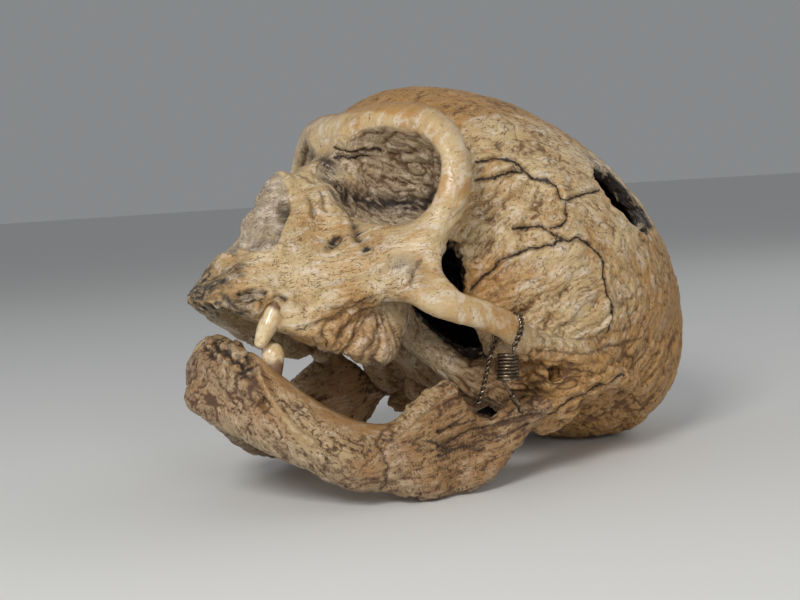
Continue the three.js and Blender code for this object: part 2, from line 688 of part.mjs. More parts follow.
const c = Math.cos(LEAN);
const s = Math.sin(LEAN);
const stand = new THREE.Matrix4().set(
  0, 1, 0, 0,
  -c, 0, s, 0,
  s, 0, c, 0,
  0, 0, 0, 1,
);
stand.premultiply(new THREE.Matrix4().makeRotationY(ROLL));
stand.premultiply(new THREE.Matrix4().makeTranslation(...REST));
const table = block([-400, -400, -400], [400, 400, 0]);

const BONE = 0xd6ae74;
const COLOURS = { mandible: 0xb99a6e, nasal_filling: 0xb5a898, tooth: 0xe6d5ac, spring: 0x5d5346 };
const all = {
  ...bones,
  mandible: biggest(lowerJaw),
  tooth_upper: upperTooth,
  tooth_lower: lowerTooth,
  ...springs,
};
const group = new THREE.Group();
group.name = "skull";
for (const [name, made] of Object.entries(all)) {
  const stood = biggest(made.transform(stand.elements).subtract(table));
  const { vertProperties, triVerts } = stood.getMesh();
  const geometry = new THREE.BufferGeometry();
  geometry.setAttribute("position", new THREE.BufferAttribute(vertProperties, 3));
  const index = lighter(vertProperties, triVerts, TRIM);
  geometry.setIndex(new THREE.BufferAttribute(index, 1));
  const kind = Object.keys(COLOURS).find((key) => name.startsWith(key));
  const color = kind ? COLOURS[kind] : BONE;
  const mesh = new THREE.Mesh(geometry, new THREE.MeshStandardMaterial({ color }));
  mesh.name = name;
  group.add(mesh);
}

export default group;
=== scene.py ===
import math

import bpy
import numpy as np
import openvdb
from mathutils import Matrix, Vector


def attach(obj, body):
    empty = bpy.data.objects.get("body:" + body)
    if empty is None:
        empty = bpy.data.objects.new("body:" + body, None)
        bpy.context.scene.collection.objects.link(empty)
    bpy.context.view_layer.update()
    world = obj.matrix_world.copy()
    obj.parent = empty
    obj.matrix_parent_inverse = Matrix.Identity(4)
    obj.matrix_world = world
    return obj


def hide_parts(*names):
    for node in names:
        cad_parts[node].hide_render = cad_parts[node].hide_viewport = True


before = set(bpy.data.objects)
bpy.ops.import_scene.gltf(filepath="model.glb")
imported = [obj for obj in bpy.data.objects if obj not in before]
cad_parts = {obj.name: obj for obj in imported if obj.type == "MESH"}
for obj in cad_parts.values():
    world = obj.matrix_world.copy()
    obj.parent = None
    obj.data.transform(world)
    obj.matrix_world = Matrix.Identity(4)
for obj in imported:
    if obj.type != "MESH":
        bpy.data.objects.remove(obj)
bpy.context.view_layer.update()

# --- The skull bone --------------------------------------------------------------
# The braincase and face are one fossil, cast and painted, that has lost the left wing
# of its sphenoid and a patch of the left parietal. It is shaped as distance fields in
# the skull's own axes, in mm: x forwards, y to its left, z up, from the ear line.

MM = 0.001
STEP = 1.6  # of the grid that the bone is drawn on
BAND = 3  # cells either side of a surface that the grid keeps
FAR = 1e6
BAR_REACH = 16  # a bar's distance is rough beyond this

VAULT = ((6, 0, 44), (100, 77, 64))  # middle and half sizes of the braincase
WALL = 7
ORBIT_AT = np.array((97.5, 36.5, 21.5))
ORBIT = (26.5, 19.8, 29)
ORBIT_AXES = np.array(((-0.447, 0.894, 0.07), (0.392, 0.126, 0.894), (-0.9, -0.42, 0.08)))
ORBIT_OUT = np.array((0.787, 0.427, -0.405))


def join(a, b, fillet):
    """Two distances joined with a fillet about that wide."""
    h = np.clip(0.5 + 0.5 * (b - a) / fillet, 0, 1)
    return b + (a - b) * h - fillet * h * (1 - h)


def meet(a, b, fillet):
    return -join(-a, -b, fillet)


def carve(a, b, fillet):
    return -join(-a, b, fillet)


def step(low, high, value):
    """0 below low, 1 above high, and a smooth rise between."""
    t = np.clip((value - low) / (high - low), 0, 1)
    return t * t * (3 - 2 * t)


def blend(a, b, share):
    return a * (1 - share) + share * b


def mound(gap, width):
    """1 where the gap is nothing, falling away smoothly over that width."""
    return np.exp(-((gap / width) ** 2))


def egg(p, centre, radii):
    q = (p - np.float32(centre)) / np.float32(radii)
    near = np.linalg.norm(q, axis=1) + 1e-6
    return near * (near - 1) / (np.linalg.norm(q / np.float32(radii), axis=1) + 1e-9)


def smooth_line(points, steps=3):
    """Points along a smooth curve through the given ones, any further columns with them."""
    points = np.array(points, float)
    ends = np.vstack((2 * points[0] - points[1], points, 2 * points[-1] - points[-2]))
    line = []
    for i in range(len(points) - 1):
        a, b, c, d = ends[i : i + 4]
        for t in np.arange(steps) / steps:
            cubic = (2 * a - 5 * b + 4 * c - d) * t**2 + (3 * b - a - 3 * c + d) * t**3
            line.append((2 * b + (c - a) * t + cubic) / 2)
    line.append(points[-1])
    return np.array(line)


def line_gap(p, line):
    """Distance from each point to a run of straight stretches, less the line's radius."""
    line = np.asarray(line, float)
    best = np.full(len(p), FAR, np.float32)
    for a, b in zip(line, line[1:]):
        along = np.float32(b[:3] - a[:3])
        q = p - np.float32(a[:3])
        t = np.clip(q @ along / (along @ along + 1e-9), 0, 1)
        gap = np.linalg.norm(q - t[:, None] * along, axis=1)
        if len(a) > 3:
            gap -= np.float32(a[3]) + np.float32(b[3] - a[3]) * t
        best = np.minimum(best, gap)
    return best


def bar(p, points, squash=(1, 1, 1)):
    """Distance to a bar along a smooth line of (x, y, z, radius), thinner where squashed."""
    squash = np.float32(squash)
    line = smooth_line(points)
    line[:, :3] *= squash
    reach = line[:, 3:].max()
    q = p * squash
    low = np.float32(line[:, :3].min(0) - reach)
    high = np.float32(line[:, :3].max(0) + reach)
    gap = np.linalg.norm(np.maximum(0, np.maximum(low - q, q - high)), axis=1)
    close = gap < BAR_REACH
    gap[close] = line_gap(q[close], line)
    return gap / squash.max()


def mirrored(p):
    return np.column_stack((p[:, 0], np.abs(p[:, 1]), p[:, 2]))


def vault(p):
    q = mirrored(p)
    d = join(egg(p, *VAULT), egg(p, (-53, 0, 34), (42, 56, 36)), 14)
    d = join(d, egg(p, (0, 0, 22), (56, 68, 38)), 16)
    d = join(d, egg(p, (66, 0, 51), (41, 49, 29)), 12)
    d = meet(d, join(p[:, 0] - 62, 28 - p[:, 2], 10), 12)
    return carve(d, egg(q, (70, 72, 16), (30, 20, 40)), 16)


def orbit(p, grow=0):
    q = (mirrored(p) - ORBIT_AT) @ np.linalg.inv(ORBIT_AXES)
    u = np.abs(q[:, 0] / (ORBIT[0] + grow)) ** 2.4 + np.abs(q[:, 1] / (ORBIT[1] + grow)) ** 2.4
    return (np.sqrt(u ** (2 / 2.4) + (q[:, 2] / (ORBIT[2] + grow)) ** 2) - 1) * (19 + grow)


def orbit_mouth(p):
    return (mirrored(p) - ORBIT_AT) @ ORBIT_OUT


BROW = (
    (107, -6, 38, 9.5), (108, 6, 39.5, 9.5), (106, 20, 43.5, 8.8), (102, 34, 46.5, 8.6),
    (96.5, 46, 45.5, 9), (90, 55.5, 39, 8.6), (85, 61, 30, 7.4), (81.5, 62, 22, 6.4),
)
ORBIT_SIDE = (
    (82, 61.5, 26, 6.4), (80, 60.5, 16, 6.2), (78, 57.5, 5, 7.2), (76.5, 55.5, -6, 8.5),
    (76, 55, -13, 8.2),
)
ORBIT_FLOOR = (
    (78, 57, 2, 6.5), (82, 51, 0, 6), (85.5, 42, -2, 6), (91, 31, -4, 6), (97, 21, -3, 6),
    (103, 14, 4, 5.6),
)
NOSE_BRIDGE = (
    (102, 0, 26, 8), (106.5, 0, 16, 8.5), (112, 0, 6, 7.5), (118, 0, 0, 6.8), (122, 0, -3, 5),
)
NOSE_SIDE = (
    (103, 8.5, 24, 6), (105, 10.5, 13, 6.5), (107, 12.5, 0, 6.5), (108, 14.5, -14, 7),
    (110, 15, -28, 8), (113, 13, -42, 9),
)
CHEEK = (
    (80, 46, -10, 10), (86, 36, -15, 11), (91, 27, -22, 12), (96, 19, -32, 12.5),
    (102, 12, -43, 11.5),
)
CHEEK_EDGE = ((76, 57, -14, 7), (79.5, 53, -20, 6.2), (85, 45, -27.5, 6), (89, 37, -35, 7))
TOOTH_ROW = (
    (116, -5, -54, 9), (116, 5, -54, 9), (109, 15, -52, 9), (101, 22.5, -50, 9.2),
    (91, 27.5, -47.5, 9.8), (80, 31.5, -45, 10), (69, 34.5, -42, 10), (61, 35, -38, 8.5),
)
NOSE_SILL = ((108, 0, -35, 8), (111, 0, -45, 9))
CHEEK_WEB = (
    (74.5, 63, -2, 2.6), (72, 64.5, -6.5, 3), (69.5, 66.5, -9.5, 3), (65.5, 69, -11.5, 2.4),
)
ARCH = (
    (77, 58, -15, 7.5), (68, 67, -18, 7), (57, 72, -15, 6.8), (46, 73.5, -10.7, 6.6),
    (35, 73.5, -8, 6.8), (27, 72, -7.5, 7.2), (19, 69.5, -6, 7.6), (9, 65, -3, 9),
    (2, 62, 0, 9),
)


def face(p):
    q = mirrored(p)
    d = join(bar(q, BROW), bar(q, ORBIT_SIDE), 4)
    for line, fillet in (
        (ORBIT_FLOOR, 6), (NOSE_BRIDGE, 6), (NOSE_SIDE, 6), (CHEEK, 8), (CHEEK_EDGE, 4),
        (TOOTH_ROW, 8), (CHEEK_WEB, 3),
    ):
        d = join(d, bar(q, line), fillet)
    d = join(d, egg(q, (66, 33, -28), (14.5, 12, 20)), 4)
    d = join(d, bar(q, NOSE_SILL), 4)
    return join(d, egg(p, (80, 0, -14), (32, 28, 30)), 7)


def arch(p):
    return bar(mirrored(p), ARCH, (1, 1.5, 1.15))


CLIVUS = ((-2, 0, -16, 7), (12, 0, -14, 8.5), (28, 0, -11, 10), (44, 0, -8, 13), (58, 0, -8, 13))
MASTOID = ((-18, 56, 0, 13), (-18, 54.5, -12, 10), (-16.5, 53, -22, 6.5))
MASTOID_CREST = ((8, 66.5, -1, 5), (-6, 71, 3, 4.5), (-24, 70.5, 8, 4), (-42, 65, 15, 4))
EAR_FLOOR = ((-3, 61, -5, 9), (2, 46, -12, 8.5))
NAPE = ((-86, 0, 20, 5), (-80, 28, 20, 5), (-66, 48, 18, 4))
PETROUS = ((47, 12, -13, 7), (30, 25, -19, 6.2), (16, 34, -21, 6.5), (2, 42, -18, 8))
PTERYGOID = ((50, 17, -8, 6), (49, 20, -22, 4.6), (50, 24, -37, 4))


def base(p):
    q = mirrored(p)
    d = join(bar(q, CLIVUS), egg(q, (0, 15, -23), (11, 6.5, 6)), 4)
    d = join(join(d, bar(q, MASTOID), 8), bar(q, MASTOID_CREST), 10)
    d = join(d, egg(q, (22, 55, -9), (8, 14, 6)), 6)
    return join(join(d, bar(q, EAR_FLOOR), 5), bar(q, NAPE), 10)


NOSE_HOLLOW = ((122, 0, -1, 7), (120, 0, -10, 10), (119, 0, -20, 11.5))
NOSE_FILL = ((119, 0, 2, 6.5), (119.5, 0, -6, 6.5), (116, 0, -18, 7), (114, 0, -28, 6))
LOST_WING = (
    (57, 41.5, 11, 6.5), (58.5, 43, 7, 7.8), (54, 41, 2, 8.8), (48, 37, -7, 12),
    (38, 34, -11, 12), (28, 37, -14, 10), (18, 42, -16, 7),
)
LOST_WING_SIDE = ((52, 56, 4, 7), (40, 56, -8, 8), (30, 52, -18, 7))
UPPER_SOCKETS = ((119, 6, -60), (113, 14, -58.5))
LOWER_SOCKETS = ((102.5, 5, -65), (98.5, 13.5, -66.5))
ORBIT_CORNER = ((113, 13, 19), (8.5, 7.5, 10.5))  # beside the bridge of the nose
CHEEK_HOLE = ((102.5, 33, -15, 3.3), (97.3, 29, -11.5, 2.6))
EAR_HOLE = ((-2, 76, -6, 3.6), (1, 52, -7, 3))
BROKEN_SOCKETS = (
    ((101.5, 26.5, -66, 5.4), (104.2, 27, -49.5, 4.3)),
    ((102.4, 29, -65, 5), (105, 29.5, -50, 4.2)),
    ((104.7, 33, -67, 5), (107.4, 33, -51.5, 4)),
    ((112.5, 27.5, -47, 2.2), (115, 25, -53, 3)),
)
FORAMEN = (-20, 22, 15)  # middle along x, and half axes


def cranium(p):
    q = mirrored(p)
    outside = vault(p)
    d = join(outside, meet(orbit(p, 5), orbit_mouth(p) + 1, 3), 8)
    front = face(p)
    sides = arch(p)
    d = join(join(join(d, front, 7), base(p), 7), sides, 5)
    d = carve(carve(d, orbit(p), 2.5), egg(q, *ORBIT_CORNER), 3)
    d = carve(d, bar(p, NOSE_HOLLOW), 2.5)
    d = join(d, join(bar(p, NOSE_FILL), egg(p, (107, 0, -10), (14, 12.5, 20)), 8), 3)
    palate = join(egg(p, (84, 0, -58), (28, 19, 20)), egg(p, (60, 0, -54), (26, 22, 18)), 6)
    d = meet(carve(d, palate, 4), -61 + 0.235 * (126 - p[:, 0]) - p[:, 2], 3)
    d = carve(d, egg(q, (12, 57, -11), (8, 12, 6)), 3)
    wing = join(bar(p, LOST_WING), bar(p, LOST_WING_SIDE), 6)
    d = carve(d, meet(wing, 1 - join(front, sides, 3), 3), 2)
    d = join(d, join(bar(q, PETROUS), bar(q, PTERYGOID), 5), 4)
    d = np.where(p[:, 2] < 0, carve(d, jaw(p) - 2, 2), d)
    brain = carve(outside + WALL, orbit(p, 4.5), 3)
    d = carve(d, brain, 2)
    d = carve(d, egg(p, (42, 28, 2), (15, 16, 12)), 2)
    ring = np.hypot((p[:, 0] - FORAMEN[0]) / FORAMEN[1], p[:, 1] / FORAMEN[2]) - 1
    d = carve(d, meet(ring * FORAMEN[2], p[:, 2] - 2, 2), 2)
    for x, y, z in UPPER_SOCKETS:
        d = carve(d, bar(q, ((x, y, z - 1, 2.9), (x - 5, y, z + 7.5, 1.8))), 1)
    for line in BROKEN_SOCKETS:
        d = carve(d, bar(p, line), 1.2)
    d = carve(carve(d, bar(q, CHEEK_HOLE), 1.5), bar(q, EAR_HOLE), 1.5)
    return carve(d, parietal_gap(p), 0.8)


def parietal_gap(p):
    return egg(p, (8, 66, 78), (21, 16, 10.5))


JAW_ROLL = math.radians(2)  # it hangs a little higher on the right
JAW_TOP = (
    (102, -6, -72, 7.5), (102, 6, -72, 7.5), (96.5, 16, -74, 7.5), (85.5, 23.5, -76, 7.5),
    (71, 30, -77, 7.5), (56, 37, -76, 7.5), (41, 43, -71, 8), (30, 48, -62, 7),
)
JAW_FOOT = (
    (99, -5, -83.5, 7), (99, 5, -83.5, 7), (94, 14, -84, 6.8), (83.5, 23, -85.5, 6.8),
    (68, 32, -86.5, 6.8), (50, 41, -85, 7.5), (34, 47, -80, 7), (19, 52, -72, 7),
)
RAMUS = (
    (44, -66), (44.5, -52), (40.5, -40), (35, -32.5), (31, -31.5), (25.5, -34), (20, -36.5),
    (14.5, -37.5), (10, -35.5), (6, -30), (3, -22), (-3, -20.5), (-7.5, -24), (-8, -32),
    (-6, -46), (-4, -58), (2, -69), (11, -78), (24, -83),
)
JAW_KEEL = (  # the left half's lower edge is deeper
    (100, 2, -92, 5.5), (95, 11, -93, 6), (86, 21.5, -92.5, 6), (72, 31, -90.5, 6.2),
    (58, 39, -88, 6), (44, 44, -86.5, 5.5),
)
MENTAL_HOLE = ((91, 33, -84, 1.9), (85, 28, -82, 1.6))
JAW_SILL = ((41, -44), (38, -30), (32, -25), (18, -24), (8, -24), (4, -24), (2, -38), (14, -52))
JAW_HEAD = ((-1, 68, -22, 4.8), (-2, 60, -23, 5.6), (-4, 52, -24, 4.8))
JAW_BACK = ((0, 59, -30, 5), (-1, 57, -44, 4.6), (4, 55, -60, 5.4))


def outline(u, v, points):
    """Distance to a closed outline in a plane, negative inside it."""
    near = np.full(len(u), FAR, np.float32)
    inside = np.zeros(len(u), bool)
    for (au, av), (bu, bv) in zip(points, (points[-1], *points[:-1])):
        du, dv = bu - au, bv - av
        t = np.clip(((u - au) * du + (v - av) * dv) / (du * du + dv * dv), 0, 1)
        near = np.minimum(near, np.hypot(u - au - du * t, v - av - dv * t))
        if dv:
            inside ^= ((v >= av) != (v >= bv)) & (u < au + (v - av) * du / dv)
    return np.where(inside, -near, near)


JAW_TURNS_AT = (50, -80)  # y and z


def jaw_axes(p):
    """Points in the closed jaw's own axes, before it hangs askew."""
    c, s = math.cos(JAW_ROLL), math.sin(JAW_ROLL)
    at_y, at_z = JAW_TURNS_AT
    y, z = p[:, 1] - at_y, p[:, 2] - at_z
    return np.column_stack((p[:, 0], at_y + c * y - s * z, at_z + s * y + c * z))


def on_jaw(points):
    """The way back from the jaw's own axes to where it hangs."""
    c, s = math.cos(JAW_ROLL), math.sin(JAW_ROLL)
    p = np.array(points, float)
    at_y, at_z = JAW_TURNS_AT
    y, z = p[:, 1] - at_y, p[:, 2] - at_z
    return np.column_stack((p[:, 0], at_y + c * y + s * z, at_z - s * y + c * z, p[:, 3:]))


def jaw(p):
    p = jaw_axes(p)
    q = mirrored(p)
    middle = (np.array(JAW_TOP) + np.array(JAW_FOOT)) / 2
    d = join(join(bar(q, JAW_TOP), bar(q, JAW_FOOT), 8), bar(q, middle), 4)
    x, z = q[:, 0], q[:, 2]
    plane = 51 + 0.09 * (36 - x) + np.maximum(0, 8 - x) * 0.35
    side = outline(x, z, RAMUS)
    side = np.where(p[:, 1] < 0, join(side, outline(x, z, JAW_SILL), 3), side)
    ramus = meet(side + 1.5, np.abs(q[:, 1] - plane) - 4.6, 5)
    ramus = join(join(ramus, bar(q, JAW_HEAD), 5), bar(q, JAW_BACK), 6)
    d = join(join(d, ramus, 7), bar(p, JAW_KEEL), 7)
    d = carve(d, bar(q, MENTAL_HOLE), 1.2)
    for x, y, z in LOWER_SOCKETS:
        d = carve(d, bar(q, ((x, y, z - 1, 2.9), (x - 3.5, y, z - 8.5, 1.8))), 1)
    return d


def new_mesh(name, points, faces):
    """A mesh from points and faces with the same number of corners."""
    mesh = bpy.data.meshes.new(name)
    faces = np.asarray(faces, np.int32)
    starts = np.arange(len(faces), dtype=np.int32) * faces.shape[1]
    mesh.vertices.add(len(points))
    mesh.vertices.foreach_set("co", np.ascontiguousarray(points, np.float32).ravel())
    mesh.loops.add(faces.size)
    mesh.loops.foreach_set("vertex_index", faces.ravel())
    mesh.polygons.add(len(faces))
    mesh.polygons.foreach_set("loop_start", starts)
    mesh.update(calc_edges=True)
    return mesh


def new_object(name, data):
    """An object in the scene."""
    thing = bpy.data.objects.new(name, data)
    bpy.context.scene.collection.objects.link(thing)
    return thing


def drawn(name, field, low, high, size):
    """A mesh of a field's zero surface, in mm, from samples taken only near it."""
    low, high = np.array(low, float), np.array(high, float)
    rough = size * 2
    counts = np.ceil((high - low) / rough).astype(int)
    cells = np.meshgrid(*(np.arange(n) for n in counts), indexing="ij")
    index = np.stack(cells, -1).reshape(-1, 3)
    coarse = field(np.float32(low + (index + 0.5) * rough))
    values = np.clip(coarse, -BAND * size, BAND * size).reshape(counts).astype(np.float32)
    values = values.repeat(2, 0).repeat(2, 1).repeat(2, 2)
    close = index[np.abs(coarse) < (BAND + 0.4) * size] * 2
    fine = (close[:, None] + list(np.ndindex(2, 2, 2))).reshape(-1, 3)
    values[tuple(fine.T)] = field(np.float32(low + (fine + 0.5) * size))
    grid = openvdb.FloatGrid(background=BAND * size)
    grid.copyFromArray(np.clip(values, -BAND * size, BAND * size))
    points, quads = grid.convertToQuads(isovalue=0.0)
    mesh = new_mesh(name, points * size + low + size / 2, quads)
    mesh.validate()
    return mesh


LEAN = math.radians(41.1)  # the skull lies back on its occiput
ROLL = math.radians(-1.5)
REST = Vector((0.3, 14.65, 48.8))
SET_DOWN = (
    Matrix.Scale(MM, 4)
    @ Matrix.Translation(REST)
    @ Matrix.Rotation(ROLL, 4, "Y")
    @ Matrix((
        (0, 1, 0, 0),
        (-math.cos(LEAN), 0, math.sin(LEAN), 0),
        (math.sin(LEAN), 0, math.cos(LEAN), 0),
        (0, 0, 0, 1),
    ))
)


def hashed(i, j, k, seed):
    """A fixed number from -1 to 1 for each cell of a grid."""
    n = i * np.uint32(73856093) ^ j * np.uint32(19349663) ^ k * np.uint32(83492791)
    n = n + np.uint32(seed * 374761393 % 2**32)
    n = (n ^ (n >> 13)) * np.uint32(1274126177)
    n = (n ^ (n >> 15)) * np.uint32(2246822519)
    return (n ^ (n >> 16)).astype(np.float32) / 2**31 - 1


def noise(p, size, seed):
    """Smooth lumps about that many mm across, from -1 to 1; size may differ by axis."""
    q = p / np.float32(size)
    cell = np.floor(q)
    t = (q - cell).astype(np.float32)
    t = t * t * (3 - 2 * t)
    i, j, k = cell.astype(np.int64).astype(np.uint32).T
    x, y, z = t.T
    total = 0
    for a, b, c in np.ndindex(2, 2, 2):
        weight = (x if a else 1 - x) * (y if b else 1 - y) * (z if c else 1 - z)
        corner = hashed(i + np.uint32(a), j + np.uint32(b), k + np.uint32(c), seed)
        total = total + weight * corner
    return total


def rough(p, size, octaves, seed):
    """Lumps of that size with smaller and smaller ones on them."""
    size = np.array(size, np.float32)
    total = sum(noise(p, size / 2**n, seed + n) / 2**n for n in range(octaves))
    return total / (2 - 2.0 ** (1 - octaves))


def creases(p, size, seed):
    """0 along sharp winding creases about that far apart, and about 1 between them."""
    return np.minimum(1, np.abs(rough(p, size, 2, seed)) * 3.2)


def valley(crease):
    """1 in the bottom of a crease and 0 out of it."""
    return np.maximum(1 - crease, 0) ** 2.2


def along(p, angle):
    """Axes along and across lines at that angle in the skull's side view."""
    x, z = p[:, 0], p[:, 2]
    c, s = math.cos(angle), math.sin(angle)
    return np.column_stack((x * c + z * s, z * c - x * s, p[:, 1]))


def around(p, x, z, radius):
    """Axes along and across rings about a point in the side view."""
    dx, dz = p[:, 0] - x, p[:, 2] - z
    return np.column_stack((np.arctan2(dz, dx) * radius, np.hypot(dx, dz), p[:, 1]))


def wander(p, amount, size, seed):
    """A push for each point by noise, of up to that many mm along each axis."""
    return amount * np.column_stack([noise(p, size, seed + n) for n in range(3)])


def spot(p, centre, radii):
    """1 at a point, fading away over those radii."""
    return mound(np.linalg.norm((p - centre) / radii, axis=1), 1)


def inside(p, shape, soft=2.5):
    """1 inside an outline in the side view and 0 outside it, with a soft edge."""
    return step(soft, -soft, outline(p[:, 0], p[:, 2], shape))


def surface(mesh):
    """The points of a mesh and the way out from each."""
    count = len(mesh.vertices)
    points, normals = np.empty(count * 3, np.float32), np.empty(count * 3, np.float32)
    mesh.vertices.foreach_get("co", points)
    mesh.vertices.foreach_get("normal", normals)
    return points.reshape(-1, 3), normals.reshape(-1, 3)


def refined(mesh):
    """The same mesh with every face in four, smoothed."""
    block = new_object(mesh.name, mesh)
    block.modifiers.new("finer", "SUBSURF").levels = 1
    graph = bpy.context.evaluated_depsgraph_get()
    fine = bpy.data.meshes.new_from_object(block.evaluated_get(graph))
    bpy.data.objects.remove(block)
    return fine


# Where the bone changes, in the side view (x, z) of either side.
SQUAMA = (
    (44, 3), (44, 14), (41, 24), (36, 31), (31, 38), (21, 43), (11, 42), (4, 35), (-6, 31),
    (-10, 23), (-7, 15), (2, 8), (14, 2), (30, -4),
)
TEMPLE = ((45, 3), (45, 20), (32, 37), (40, 52), (60, 56), (74, 47), (84, 22), (80, 0), (62, -4))
FOREHEAD = ((93, 44), (79, 53), (69, 63), (57, 74), (44, 90), (40, 120), (130, 120), (120, 44))
BELOW_CREST = (
    (20, -8), (9, -2), (3, 1), (-6, 6), (-13, 13), (-20, 20), (-34, 34), (-60, 62), (-120, 80),
    (-120, -60), (20, -60),
)
FACE = ((76, 3), (82, 20), (92, 32), (130, 32), (150, 0), (150, -80), (58, -80), (58, -20))
NOSE_PLATE = (  # of the grey filling, in the front view (y, z) of either side
    (0, 6), (5, 5), (8, 0), (10.5, -5), (12.5, -9), (16, -15), (18.5, -20), (20, -25),
    (20, -29), (16, -32), (8, -31), (0, -30),
)
FACE_GRAIN = np.linalg.qr(np.array(((-0.5, 0.61, 0.61), (0.8, 0.1, 0.6), (0, 1, -1))).T)[0].T

# Cracks that run over the left side, and lighter ones like them on the right.
CRACKS = {
    "upper": (
        (73, 53, 47), (67, 57, 54), (60, 60, 56), (54, 63, 54), (46, 68, 56), (42, 70, 54),
        (40, 71, 52), (38, 72, 54), (34, 72, 59), (29, 71, 65), (26, 70, 68),
    ),
    "upper_branch": ((69, 53, 41), (63, 57, 48), (58, 61, 54)),
    "middle": ((38, 72, 51), (35.5, 73, 46), (35, 73, 42), (38, 71.5, 39)),
    "squamous_top": (
        (46, 61, 33), (41, 68, 38), (36, 71, 36.5), (31, 74, 38), (26, 75, 42), (21, 76, 43),
        (15, 77, 43), (11, 77, 42), (8, 77, 37), (4, 77, 34), (-2, 76, 31), (-8, 76, 28),
        (-11, 74, 21),
    ),
    "squamous_front": (
        (44, 51, 5), (44, 56, 12), (44, 58, 18), (41, 62, 24), (39, 66, 28), (35, 70, 32),
        (32, 74, 37),
    ),
    "brow": ((97, 52, 52), (89, 42, 62), (84, 40, 70)),
    "mastoid": (
        (-14, 61, -19), (-16, 65, -12), (-20, 68, -6), (-23, 71, 1), (-25, 74, 7),
        (-29, 73, 12),
    ),
    "cheek": ((97, 28, 3), (97, 31, 0), (96, 34, -4), (96, 37, -8), (95, 40, -9)),
    "nose_edge": (
        (116, 6, 10), (112, 9, 10), (109, 13, 9), (103, 17, 7), (97, 24, 5), (96.5, 28, 1.5),
    ),
    "nose_mark_1": ((112, 17, 0), (110, 19, -3), (109, 20, -5)),
    "nose_mark_2": ((110, 18, 4), (107, 20, 1), (105, 21, -1)),
    "cheek_low": ((79, 64, -9), (80, 65, -13), (79, 66, -18)),
    "tuber": (
        (94, 36, -52), (91, 39, -47), (88, 41, -43), (86, 43, -39), (84, 47, -34),
        (84, 51, -30),
    ),
    "fold_1": ((75, 42, -48), (76, 43, -44), (76, 43, -38), (75, 43, -31)),
    "fold_2": ((67, 40, -47), (69, 44, -44), (68, 45, -39), (69, 45, -31)),
    "fold_3": ((80, 41, -48), (81, 42, -43), (80, 41, -37)),
    "furrow_1": ((111, 9, 29), (107, 14, 29), (103, 17, 33), (99, 21, 36)),
    "furrow_2": ((108, 9, 26), (104, 13, 28), (100, 15, 32)),
    "crest": (
        (16, 74, -7), (9, 73, -2), (3, 73, 1), (-6, 74, 6), (-13, 71, 13), (-20, 71, 20),
        (-30, 70, 30),
    ),
}
FAINT = (
    "brow", "crest", "cheek", "cheek_low", "nose_edge", "nose_mark_1", "nose_mark_2", "fold_1",
    "fold_2", "fold_3", "tuber",
)
CHEEK_FURROW = ((96.5, 34, -3), (96, 37, -6), (94, 42, -9), (92, 46, -12))
STEP_LINE = (  # where the forehead steps down to the temple
    (87, 63, 43), (79, 52, 53), (75, 53, 58), (69, 55, 63), (63, 55, 70), (57, 56, 74),
    (48, 58, 76),
)
SQUAMA_RIPPLES = (
    (17, 69, 12), (10, 70, 11), (1, 70, 11), (-5, 71, 14), (-10, 73, 21), (-10, 74, 26),
)
CHEEK_BAR = (
    (101, 28, -48), (98, 35, -46), (95, 37, -42), (92, 42, -39), (90, 45, -35), (88, 49, -31),
    (86, 53, -27),
)
# Where shade is painted, as a dark band deep in each orbit.
ORBIT_DARK = (
    (112, 5, 22), (107, 8, 18), (102, 11, 15), (95, 10, 15), (90, 10, 17), (85, 11, 20),
    (78, 17, 24), (74, 22, 26), (72, 29, 28), (73, 35, 30),
)
ORBIT_WING = ((101, 11, 26), (97, 10, 23), (101, 10, 21))
# Where a shadow is painted on the lower side of the grey nasal filling.
PLATE_DARK = ((117, 10, -6), (115, 13, -13), (116, 15, -20))
PLATE_LUMPS = ((120, 7, -18, 3.4), (117, 7, -25, 2.6), (119, 3, -5, 3), (120, 4, -12, 3))
# Where shade is painted round the edge of the hole in the left parietal.
HOLE_RIM = ((16, 57, 87), (8, 56, 87), (-1, 56, 85), (-8, 58, 83), (-13, 62, 80))
# Pits by the broken sockets, sunk and painted dark as shade.
SOCKET_PITS = (((112, 27, -47), (116, 21, -52)), ((105.5, 31, -44), (108, 28, -50)))


def unit(way):
    """The same way with a length of 1."""
    return way / np.linalg.norm(way)


def nearest_crack(p, jag, normals, shift, cracks):
    """Distance to the nearest crack, across it along the surface, and how strong it is.

    It is measured from the points' jagged places. The cracks lie on the left, and on the
    right once more, mirrored and shifted.
    """
    on_left = p[:, 1:2] > 0
    p = np.where(on_left, jag, jag * (1, -1, 1) + np.float32(shift))
    normals = np.where(on_left, normals, normals * (1, -1, 1))
    nearest = np.full(len(p), FAR, np.float32)
    across, power = np.zeros_like(nearest), np.zeros_like(nearest)
    for line, strength in cracks:
        line = np.array(line, np.float32)
        for a, b in zip(line, line[1:]):
            way = b - a
            t = np.clip((p - a) @ way / (way @ way), 0, 1)
            off = p - a - t[:, None] * way
            gap = np.linalg.norm(off, axis=1)
            closer = gap < nearest
            sideways = np.cross(normals[closer], unit(way))
            nearest[closer] = gap[closer]
            across[closer] = (sideways * off[closer]).sum(1)
            power[closer] = np.broadcast_to(strength, len(p))[closer]
    return nearest, np.clip(across, -4, 4), power


